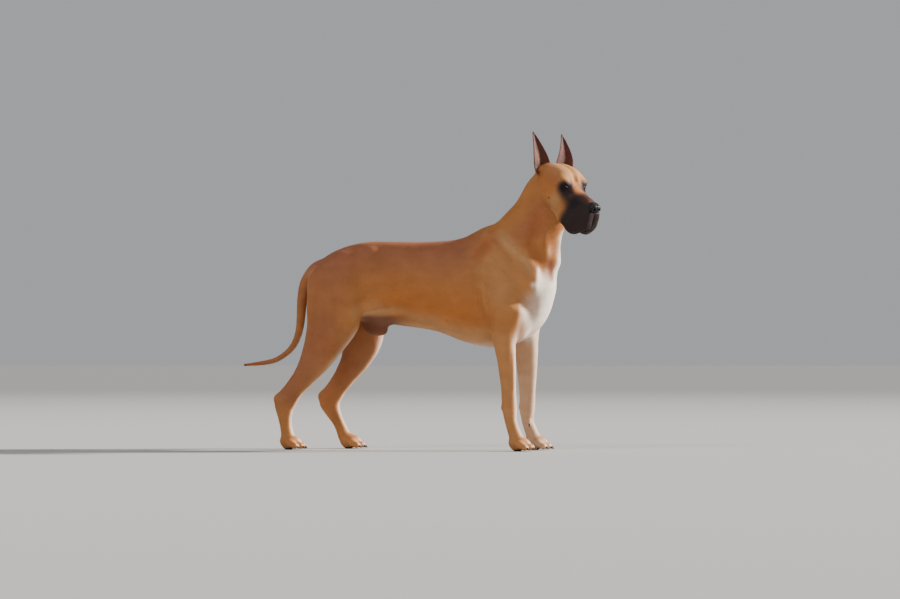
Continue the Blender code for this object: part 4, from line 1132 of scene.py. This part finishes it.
class DANE_OT_eyes(Operator):
    """Both eyeballs with a raised cornea"""

    bl_idname = "dane.eyes"
    bl_label = "Eyes"

    def execute(self, context):
        for hand, side in SIDES.items():
            place = eye_frame(side)
            made = ball(place @ turn(90, "Y"), (EYE_RADIUS,) * 3, 48, 32)
            made.name = f"eyeball_{hand}"
            clay = Clay(made)
            gaze = place.to_3x3() @ Vector((1, 0, 0))
            share = (clay.points - np.array(place.translation)) @ np.array(gaze) / EYE_RADIUS
            clay.points += np.array(gaze) * (CORNEA * rise(share, 0.74, 0.92))[:, None]
            clay.write()
            made_of = eye_material(list(context.scene.dane_colours.iris), place.translation, gaze, f"eye_{hand}")
            finish(made, made_of, (f"eye_{hand}",))
        return {"FINISHED"}


class DANE_OT_lids(Operator):
    """Leather rims of the lids, with the pink of the inner corner"""

    bl_idname = "dane.lids"
    bl_label = "Lids"

    def execute(self, context):
        made_of = leather_material("lid_leather", list(context.scene.dane_colours.leather), 0.62, 900, 0.0001, 0.0)
        pink, _ = shader_of("eye_corner", 0.35, Base_Color=(0.06, 0.022, 0.02, 1.0), Coat_Weight=0.2)
        for hand, side in SIDES.items():
            place = eye_frame(side)
            seat = EYE_RADIUS + LID * 0.9
            path = []
            for y, z in almond(48, 0.0001):
                depth = math.sqrt(max(seat * seat - y * y - z * z, (0.35 * seat) ** 2))
                path.append(place @ Vector((depth, y, z)))
            path += path[:2]  # past its start, so that the ring closes
            rim = combined(f"lid_rim_{hand}", [tube(path, [LID_RIM] * len(path), 10)])
            finish(weld(rim, 1e-7), made_of)
            inner = place @ Matrix.Translation((0.0078, -OPENING[0] * side * 0.86, -0.001))
            corner = ball(inner, (0.0026, 0.0022, 0.0016), 20, 12)
            corner.name = f"eye_corner_{hand}"
            finish(corner, pink)
        return {"FINISHED"}


NOSE_BALLS = (  # middle, half lengths, tilt in degrees and how square, in the head's frame; mirrored
    ((0.133, 0.0, -0.025), (0.0205, 0.0215, 0.016), 10, 2.9),
    ((0.1345, 0.014, -0.029), (0.0175, 0.012, 0.0135), 6, 2.3),
    ((0.14, 0.0, -0.0385), (0.01, 0.008, 0.0095), 28, 2.0),
)
NOSTRIL = ((0.162, 0.0105, -0.03), (0.152, 0.0108, -0.029), (0.14, 0.011, -0.027))  # into the nose
SLIT = ((0.155, 0.0115, -0.0335), (0.153, 0.0165, -0.0345), (0.148, 0.0215, -0.033), (0.139, 0.0265, -0.0285))


class DANE_OT_nose(Operator):
    """The nose leather with its nostrils and the furrow between them"""

    bl_idname = "dane.nose"
    bl_label = "Nose"

    def execute(self, context):
        pieces = []
        for middle, radii, tilt, square in NOSE_BALLS:
            for side in SIDES.values():
                place = HEAD @ Matrix.Translation((middle[0], middle[1] * side, middle[2])) @ turn(tilt, "Y")
                lobe = ball(Matrix.Identity(4), (1, 1, 1), 40, 24)
                clay = Clay(lobe)
                clay.points /= (np.abs(clay.points) ** square).sum(1, keepdims=True) ** (1 / square)
                clay.points = moved(clay.points * np.array(radii), place)
                clay.write()
                pieces.append(lobe)
        nose = remesh(joined("nose_leather", pieces), 0.0008)
        clay = Clay(nose)
        clay.relax(14)
        hx, hy, hz = moved(clay.points, HEAD.inverted()).T
        furrow = np.exp(-((hy / 0.0015) ** 2)) * rise(hx, 0.138, 0.146)
        clay.points -= clay.normals() * (0.0019 * furrow)[:, None]
        clay.relax(2)
        clay.write()
        for side in SIDES.values():
            for name, line, depth, radii in (
                ("hole", NOSTRIL, 0.0, (0.0052, 0.0052, 0.004)),
                ("slit", SLIT, 0.0006, (0.003, 0.0026, 0.0021, 0.0013)),
            ):
                path = placed(line, HEAD, side)
                if depth:
                    found = [nose.closest_point_on_mesh(spot)[1:3] for spot in path]
                    path = [spot - normal * depth for spot, normal in found]
                rows = spline([(*spot, radius) for spot, radius in zip(path, radii)], 5)
                cut(nose, combined(name, [tube(rows[:, :3], list(rows[:, 3]), 16)]))
        clay = Clay(nose)
        clay.relax(4)
        clay.write()
        made_of = leather_material("nose_leather", list(context.scene.dane_colours.leather), 0.58, 560, 0.0005)
        finish(nose, made_of, ("nose",))
        return {"FINISHED"}


class DANE_OT_lips(Operator):
    """The bare edge of both upper lips, along the mouth"""

    bl_idname = "dane.lips"
    bl_label = "Lips"

    def execute(self, context):
        skin = bpy.data.objects["skin"]
        points = read(skin.data.vertices, "co", 3)
        owners = read(skin.data.attributes["owner"].data, "value", 1)
        head = moved(points[owners == FLESH.index("head")], HEAD.inverted())
        made_of = leather_material("lip_leather", list(context.scene.dane_colours.leather), 0.4, 700, 0.0002)
        for hand, side in SIDES.items():
            rows = []
            for x in np.arange(LIP_BACK, LIP_FRONT, LIP_STEP):
                here = head[(np.abs(head[:, 0] - x) < 0.004) & (head[:, 1] * side > 0.013)]
                if len(here):
                    rows.append(here[here[:, 2].argmin()] + np.array((0, 0, 0.0006)))
            rows = np.array(rows)
            for _ in range(6):
                rows[1:-1] = 0.5 * rows[1:-1] + 0.25 * (rows[:-2] + rows[2:])
            path = spline(rows, 3)
            taper = np.sin(np.linspace(0.25, math.pi - 0.25, len(path))) ** 0.4
            world = [HEAD @ Vector(point) for point in path]
            lip = combined(f"lip_{hand}", [tube(world, list(LIP * taper), 10)])
            finish(lip, made_of)
        return {"FINISHED"}


# ---------------------------------------------------------------- claws and whiskers


CLAW_STEPS = (  # length, size and drop of each step towards the tip
    (0.22, 1.02, -0.01),
    (0.22, 0.9, -0.05),
    (0.2, 0.84, -0.09),
    (0.18, 0.74, -0.12),
    (0.14, 0.5, -0.12),
)


def claw_shape():
    """One claw: a ring drawn out, narrowed and bent down to a blunt tip, 1 long in its own frame."""
    deselect()
    bpy.ops.mesh.primitive_circle_add(vertices=12, radius=0.24, fill_type="NGON", rotation=(0, math.pi / 2, 0))
    made = bpy.context.object
    bpy.ops.object.transform_apply(rotation=True)
    middle = Vector((0, 0, 0))
    with editing(made):
        for step, size, drop in CLAW_STEPS:
            bpy.ops.mesh.extrude_region_move(TRANSFORM_OT_translate={"value": (step, 0, drop)})
            middle += Vector((step, 0, drop))
            bpy.ops.transform.resize(value=(1, size * 0.98, size), center_override=middle)
        bpy.ops.mesh.select_all(action="SELECT")
        bpy.ops.mesh.normals_make_consistent(inside=False)
    made.modifiers.new("Round", "SUBSURF").levels = 1
    return apply_modifiers(made)


class DANE_OT_claws(Operator):
    """Four claws on each paw and a dewclaw inside each wrist"""

    bl_idname = "dane.claws"
    bl_label = "Claws"

    def execute(self, context):
        size = context.scene.dane_sizes.claw
        made_of = horn_material(list(context.scene.dane_colours.horn))
        pattern = claw_shape()
        for name, (paw_x, paw_y, _) in PAWS.items():
            places = []
            for side in SIDES.values():
                for x, y, z in CLAW_ROOTS:
                    local = Matrix.Translation((x - 0.002, y * side, z + 0.0005))
                    outwards = (6 if y > 0.02 else 1) * side
                    places.append(paw_frame(name) @ local @ turn(outwards, "Z") @ turn(10, "Y"))
            if name.startswith("fore"):
                dewclaw = Matrix.Translation((paw_x - 0.028, paw_y - math.copysign(0.025, paw_y), 0.104))
                places.append(BODY @ dewclaw @ Matrix.Diagonal((0.8, 0.8, 0.8, 1)) @ turn(58, "Y"))
            copies = []
            for place in places:
                made = add_object(name, pattern.data.copy())
                made.matrix_world = place @ Matrix.Diagonal((size, size * 0.86, size * 1.1, 1))
                copies.append(settle(made))
            finish(joined(f"claws_{name}", copies), made_of)
        bpy.data.objects.remove(pattern)
        return {"FINISHED"}


WHISKER_ROWS = (  # root in the head's frame, direction there and share of the full length; mirrored
    ((0.112, 0.036, -0.045), (-0.35, 0.85, -0.25), 0.6),
    ((0.098, 0.04, -0.05), (-0.45, 0.85, -0.25), 0.8),
    ((0.082, 0.043, -0.056), (-0.55, 0.8, -0.28), 1.0),
    ((0.118, 0.036, -0.06), (-0.25, 0.85, -0.4), 0.6),
    ((0.104, 0.041, -0.066), (-0.4, 0.82, -0.42), 0.85),
    ((0.088, 0.045, -0.072), (-0.5, 0.78, -0.45), 1.0),
    ((0.118, 0.034, -0.078), (-0.2, 0.78, -0.55), 0.55),
    ((0.104, 0.04, -0.084), (-0.35, 0.76, -0.6), 0.75),
    ((0.088, 0.044, -0.09), (-0.45, 0.72, -0.62), 0.8),
    ((-0.01, 0.042, 0.026), (0.45, 0.45, 0.75), 0.2),
    ((-0.018, 0.05, 0.026), (0.3, 0.6, 0.7), 0.22),
    ((-0.047, 0.078, -0.06), (-0.55, 0.8, -0.2), 0.3),
    ((0.112, 0.012, -0.14), (0.2, 0.3, -0.9), 0.4),
    ((0.1, 0.016, -0.142), (0.0, 0.35, -0.9), 0.45),
)


class DANE_OT_whiskers(Operator):
    """Whiskers on the lips, brows, cheeks and chin"""

    bl_idname = "dane.whiskers"
    bl_label = "Whiskers"

    def execute(self, context):
        skin = bpy.data.objects["skin"]
        full = context.scene.dane_sizes.whisker
        back = HEAD_ROTATION.to_3x3() @ Vector((-1, 0, -0.25))
        made_of, _ = shader_of("whisker", 0.35, Base_Color=(0.028, 0.024, 0.024, 1.0))
        shapes = []
        for root, way, share in WHISKER_ROWS:
            for side in SIDES.values():
                _, spot, normal, _ = skin.closest_point_on_mesh(placed((root,), HEAD, side)[0])
                heading = placed((way,), HEAD_ROTATION.to_3x3(), side)[0].normalized()
                heading = (heading + normal * 0.35).normalized()
                path, radii = [], []
                for t in np.linspace(0, 1, WHISKER_STEPS).tolist():
                    bend = back * (0.22 * t * t)
                    path.append(spot - normal * 0.001 + (heading * t + bend) * full * share)
                    radii.append(WHISKER * (1 - 0.85 * t))
                shapes.append(tube(path, radii, 5))
        finish(combined("whiskers", shapes), made_of)
        return {"FINISHED"}


# ---------------------------------------------------------------- coat

COAT_PIECES = {  # nodes and, where one node is shared out, the side
    "coat_head_left": (("head", "jaw"), 1),
    "coat_head_right": (("head", "jaw"), -1),
    "coat_ears": (EAR_NODES, 0),
    "coat_neck": (("neck",), 0),
    "coat_chest_left": (("chest",), 1),
    "coat_chest_right": (("chest",), -1),
    "coat_loin": (("loin",), 0),
    "coat_rump": (("rump", "thigh_left", "thigh_right"), 0),
    "coat_forelegs": ([name for name in FLESH if name.startswith("fore")], 0),
    "coat_hindleg_left": (("shank_left", "hind_pastern_left", "hind_paw_left"), 0),
    "coat_hindleg_right": (("shank_right", "hind_pastern_right", "hind_paw_right"), 0),
    "coat_tail": (TAIL_NODES, 0),
}
PATCH = 0.003  # side of a tuft's patch in the OFBake map
SEED = 7
STRAYS = 0.015  # share of the tufts that stand off a little
TUFT_SUNK = 0.0004  # how deep a tuft's root lies in the skin


def skin_unwrap(skin):
    """Unwraps the skin's own shape and returns a place in the map for each of its corners."""
    with editing(skin):
        bpy.ops.uv.smart_project(angle_limit=math.radians(66), island_margin=0.002)
    return read(skin.data.uv_layers.active.data, "uv", 2)


def tuft_roots(skin, count, random):
    """Scatters roots over the skin, closer where the tufts are short."""
    mesh = skin.data
    corners, loops, points = triangles_of(mesh), triangles_of(mesh, "loops"), points_of(mesh)
    owners = read(mesh.attributes["owner"].data, "value", 1).astype(int)
    share = np.array([node_coat(name)[1] for name in FLESH])
    size = Clay(skin).spread(share[owners], 6)
    for spots, reach, less in FINE_PLACES:
        for side in SIDES.values():
            size *= 1 - less * near_line(points, placed(spots, HEAD, side), reach)
    a, b, c = (points[corners[:, k]] for k in range(3))
    area = 0.5 * np.linalg.norm(np.cross(b - a, c - a), axis=1)
    chance = area / size[corners].mean(1) ** 1.7
    chance[points[corners].min(1)[:, 2] < 0.007] = 0
    chance[under_nose(points)[corners].max(1) > 0.4] = 0
    for side in SIDES.values():
        far = np.linalg.norm(points - np.array(eye_frame(side).translation), axis=1)
        chance[far[corners].min(1) < EYE_RADIUS + 0.0018] = 0
    picked = random.choice(len(corners), count, p=chance / chance.sum())
    u, v = np.sqrt(random.random(count)), random.random(count)
    weights = np.stack([1 - u, u * (1 - v), u * v], 1)

    def blend(values, index):
        return (values[index[picked]] * weights[:, :, None]).sum(1)

    facing = normalised(blend(read(mesh.vertex_normals, "vector", 3), corners))
    lie = blend(read(mesh.attributes["lie"].data, "vector", 3), corners)
    lie = normalised(lie - facing * (lie * facing).sum(1)[:, None])
    return {
        "root": blend(points, corners),
        "facing": facing,
        "lie": lie,
        "size": size[corners[picked]].mean(1),
        "owner": owners[corners[picked, 0]],
        "ear": read(mesh.attributes["ear"].data, "value", 1)[corners[picked, 0]],
        "map": blend(skin_unwrap(skin), loops),
    }


def comb(skin, roots, sizes, random):
    """Gives each tuft its own width, way and tip, the tip laid on the skin but for a few strays."""
    count = len(roots["root"])
    swing = random.normal(0, 0.14, count)[:, None]
    lie = normalised(roots["lie"] + np.cross(roots["lie"], roots["facing"]) * swing)
    scale = (roots["size"] * random.uniform(0.75, 1.25, count))[:, None]
    reach = sizes.tuft_length * scale
    stray = random.random(count)[:, None] < STRAYS
    lift = reach * np.where(stray, random.uniform(0.05, 0.09, (count, 1)), random.uniform(0.015, 0.035, (count, 1)))
    roots["lie"] = lie
    roots["across"] = np.cross(lie, roots["facing"])
    roots["width"] = sizes.tuft_width * (0.35 + 0.65 * scale) * random.uniform(0.8, 1.2, (count, 1))
    roots["tip"] = lay_down(skin, roots["root"] + lie * reach, lift)


def lay_down(skin, spots, lift):
    """Spots moved onto the skin and then lifted off it."""
    corners = [vert.co for vert in skin.data.vertices]
    tree = BVHTree.FromPolygons(corners, [tuple(face.vertices) for face in skin.data.polygons])
    found = [tree.find_nearest(spot)[:2] for spot in spots.tolist()]
    place = np.array([(*spot, *normal) for spot, normal in found])
    return place[:, :3] + place[:, 3:] * lift


def tuft_mesh(name, roots, colours, random):
    """Flat, closed tufts of four faces, each with its back on the skin and its tip just off it."""
    count = len(roots["root"])
    facing, lie, across = roots["facing"], roots["lie"], roots["across"]
    low = roots["root"] - facing * TUFT_SUNK
    left = low - across * roots["width"] / 2
    right = low + across * roots["width"] / 2
    ridge = roots["root"] + facing * roots["width"] * 0.12 - lie * roots["width"] * 0.2
    points = np.stack([left, right, ridge, roots["tip"]], 1).reshape(-1, 3)
    faces = np.array(((0, 2, 3), (2, 1, 3), (0, 3, 1), (0, 1, 2)))
    corners = (np.arange(count)[:, None, None] * 4 + faces).reshape(-1)

    mesh = bpy.data.meshes.new(name)
    mesh.vertices.add(count * 4)
    mesh.vertices.foreach_set("co", points.astype(np.float32).ravel())
    mesh.loops.add(count * 12)
    mesh.loops.foreach_set("vertex_index", corners.astype(np.int32))
    mesh.polygons.add(count * 4)
    mesh.polygons.foreach_set("loop_start", np.arange(0, count * 12, 3, dtype=np.int32))
    mesh.update(calc_edges=True)
    mesh.validate()

    tone = markings(roots["root"], facing, roots["ear"], colours) * random.normal(1.0, 0.045, count)[:, None]
    tones = np.repeat(np.clip(tone, 0.002, 1), 4, 0)
    tones[3::4] = np.clip(tones[3::4] * 1.06, 0, 1)
    store(mesh, "markings", "FLOAT_COLOR", np.column_stack([tones, np.ones(len(tones))]))
    spot = roots["map"][:, None, :] + np.array(((-0.5, -0.5), (0.5, -0.5), (0, 0), (0, 0.5))) * PATCH
    layer = mesh.uv_layers.new(name="OFBake")
    layer.data.foreach_set("uv", spot.reshape(-1, 2)[corners].astype(np.float32).ravel())
    mesh.polygons.foreach_set("use_smooth", np.ones(count * 4, bool))
    soft = np.stack([facing - across * 0.16, facing + across * 0.16, facing, facing + lie * 0.06], 1)
    mesh.normals_split_custom_set_from_vertices(normalised(soft.reshape(-1, 3)).tolist())
    return add_object(name, mesh)


class DANE_OT_coat(Operator):
    """Short flat tufts over the whole skin, along the lie of the coat"""

    bl_idname = "dane.coat"
    bl_label = "Coat"

    def execute(self, context):
        sizes, colours = context.scene.dane_sizes, context.scene.dane_colours
        random = np.random.default_rng(SEED)
        skin = bpy.data.objects["skin"]
        roots = tuft_roots(skin, sizes.tufts, random)
        comb(skin, roots, sizes, random)
        made_of = coat_material("coat_tufts", 0.58, 0.05, 0.0)
        side = np.sign((roots["root"] - np.array(HEAD.translation)) @ np.array(HEAD.col[1])[:3])
        below = roots["owner"] > FLESH.index("jaw")
        side[below] = np.sign(roots["root"][below, 1])
        for name, (nodes, hand) in COAT_PIECES.items():
            chosen = np.isin(roots["owner"], [FLESH.index(node) for node in nodes]) & (side * hand >= 0)
            some = {key: values[chosen] for key, values in roots.items()}
            finish(tuft_mesh(name, some, colours, random), made_of, (), False)
        return {"FINISHED"}


# ---------------------------------------------------------------- stage

CAMERA_TURN = math.radians(15)  # towards the dog's front, from square to its right side
CAMERA_AWAY = 12.0
CAMERA_HEIGHT = 0.35
FRAME_WIDTH = 3.51  # of the picture at the dog, in metres
FRAME_MIDDLE = (0.1077, 0.0202, 0.587)  # what the camera looks at
SENSOR = 36.0
FLOOR = 250.0  # radius
FADE = 26.0  # how far out the floor has faded into its surroundings
SKY = ((0.9, 0.92, 0.96, 1), 0.44)  # colour and strength
LIGHTS = (  # name, way to the light, spread in degrees, strength and colour
    ("key", (-0.45, -1.0, 0.95), 20, 0.92, (1.0, 0.97, 0.93)),
    ("rim", (0.89, 0.35, 0.42), 5, 10.0, (1.0, 0.95, 0.9)),
)


def far_light(name, way, spread, strength, tint):
    """A soft light so far off that it lights the floor evenly, from a direction."""
    data = bpy.data.lights.new(name, "SUN")
    data.energy = strength
    data.angle = math.radians(spread)
    data.color = tint
    add_object(name, data).rotation_euler = Vector(way).to_track_quat("Z", "Y").to_euler()


class DANE_OT_stage(Operator):
    """Pale floor, soft studio light and the camera"""

    bl_idname = "dane.stage"
    bl_label = "Stage"

    def execute(self, context):
        tone = context.scene.dane_colours.floor
        deselect()
        bpy.ops.mesh.primitive_circle_add(vertices=96, radius=FLOOR, fill_type="NGON", location=(0, 0, 0))
        floor = bpy.context.object
        floor.name = "floor"
        made_of, shader = shader_of("floor", 0.8, Specular_IOR_Level=0.2)
        tree = made_of.node_tree
        away = add_node(tree, "ShaderNodeVectorMath", ((0, object_place(tree)),), operation="LENGTH")
        share = add_node(tree, "ShaderNodeMapRange", (("Value", away.outputs["Value"]),), From_Min=2.0, From_Max=FADE)
        share.interpolation_type = "SMOOTHSTEP"
        tint(tree, shader, share.outputs["Result"], 0.0, 1.0, list(tone), 0.5)
        floor.data.materials.append(made_of)

        world = bpy.data.worlds.new("surroundings")
        world.use_nodes = True
        sky = world.node_tree.nodes["Background"].inputs
        sky["Color"].default_value, sky["Strength"].default_value = SKY
        context.scene.world = world

        for light in LIGHTS:
            far_light(*light)

        data = bpy.data.cameras.new("camera")
        data.sensor_width = SENSOR
        data.lens = SENSOR * CAMERA_AWAY / FRAME_WIDTH
        data.clip_end = 200
        camera = add_object("camera", data)
        target = Vector(FRAME_MIDDLE)
        back = Vector((math.sin(CAMERA_TURN), -math.cos(CAMERA_TURN), 0))
        camera.location = target + back * CAMERA_AWAY
        camera.location.z = CAMERA_HEIGHT
        camera.rotation_euler = (target - camera.location).to_track_quat("-Z", "Y").to_euler()
        context.scene.camera = camera
        return {"FINISHED"}


# ---------------------------------------------------------------- panel and main


class DANE_PT_sidebar(Panel):
    """Lists the dog's sizes, colours and pieces"""

    bl_label = "Great Dane"
    bl_space_type = "VIEW_3D"
    bl_region_type = "UI"
    bl_category = "Dane"

    def draw(self, context):
        for group in (context.scene.dane_sizes, context.scene.dane_colours):
            for name in group.__annotations__:
                self.layout.prop(group, name)
        for operator in OPERATORS:
            self.layout.operator(operator.bl_idname)


OPERATORS = (
    DANE_OT_stage,
    DANE_OT_skin,
    DANE_OT_eyes,
    DANE_OT_lids,
    DANE_OT_nose,
    DANE_OT_lips,
    DANE_OT_claws,
    DANE_OT_whiskers,
    DANE_OT_coat,
)
CLASSES = (DaneSizes, DaneColours, *OPERATORS, DANE_PT_sidebar)


def register():
    for item in CLASSES:
        bpy.utils.register_class(item)
    bpy.types.Scene.dane_sizes = PointerProperty(type=DaneSizes)
    bpy.types.Scene.dane_colours = PointerProperty(type=DaneColours)


def unregister():
    del bpy.types.Scene.dane_colours
    del bpy.types.Scene.dane_sizes
    for item in reversed(CLASSES):
        bpy.utils.unregister_class(item)


def main():
    register()
    for operator in OPERATORS:
        group, name = operator.bl_idname.split(".")
        getattr(getattr(bpy.ops, group), name)()


if __name__ == "__main__":
    main()
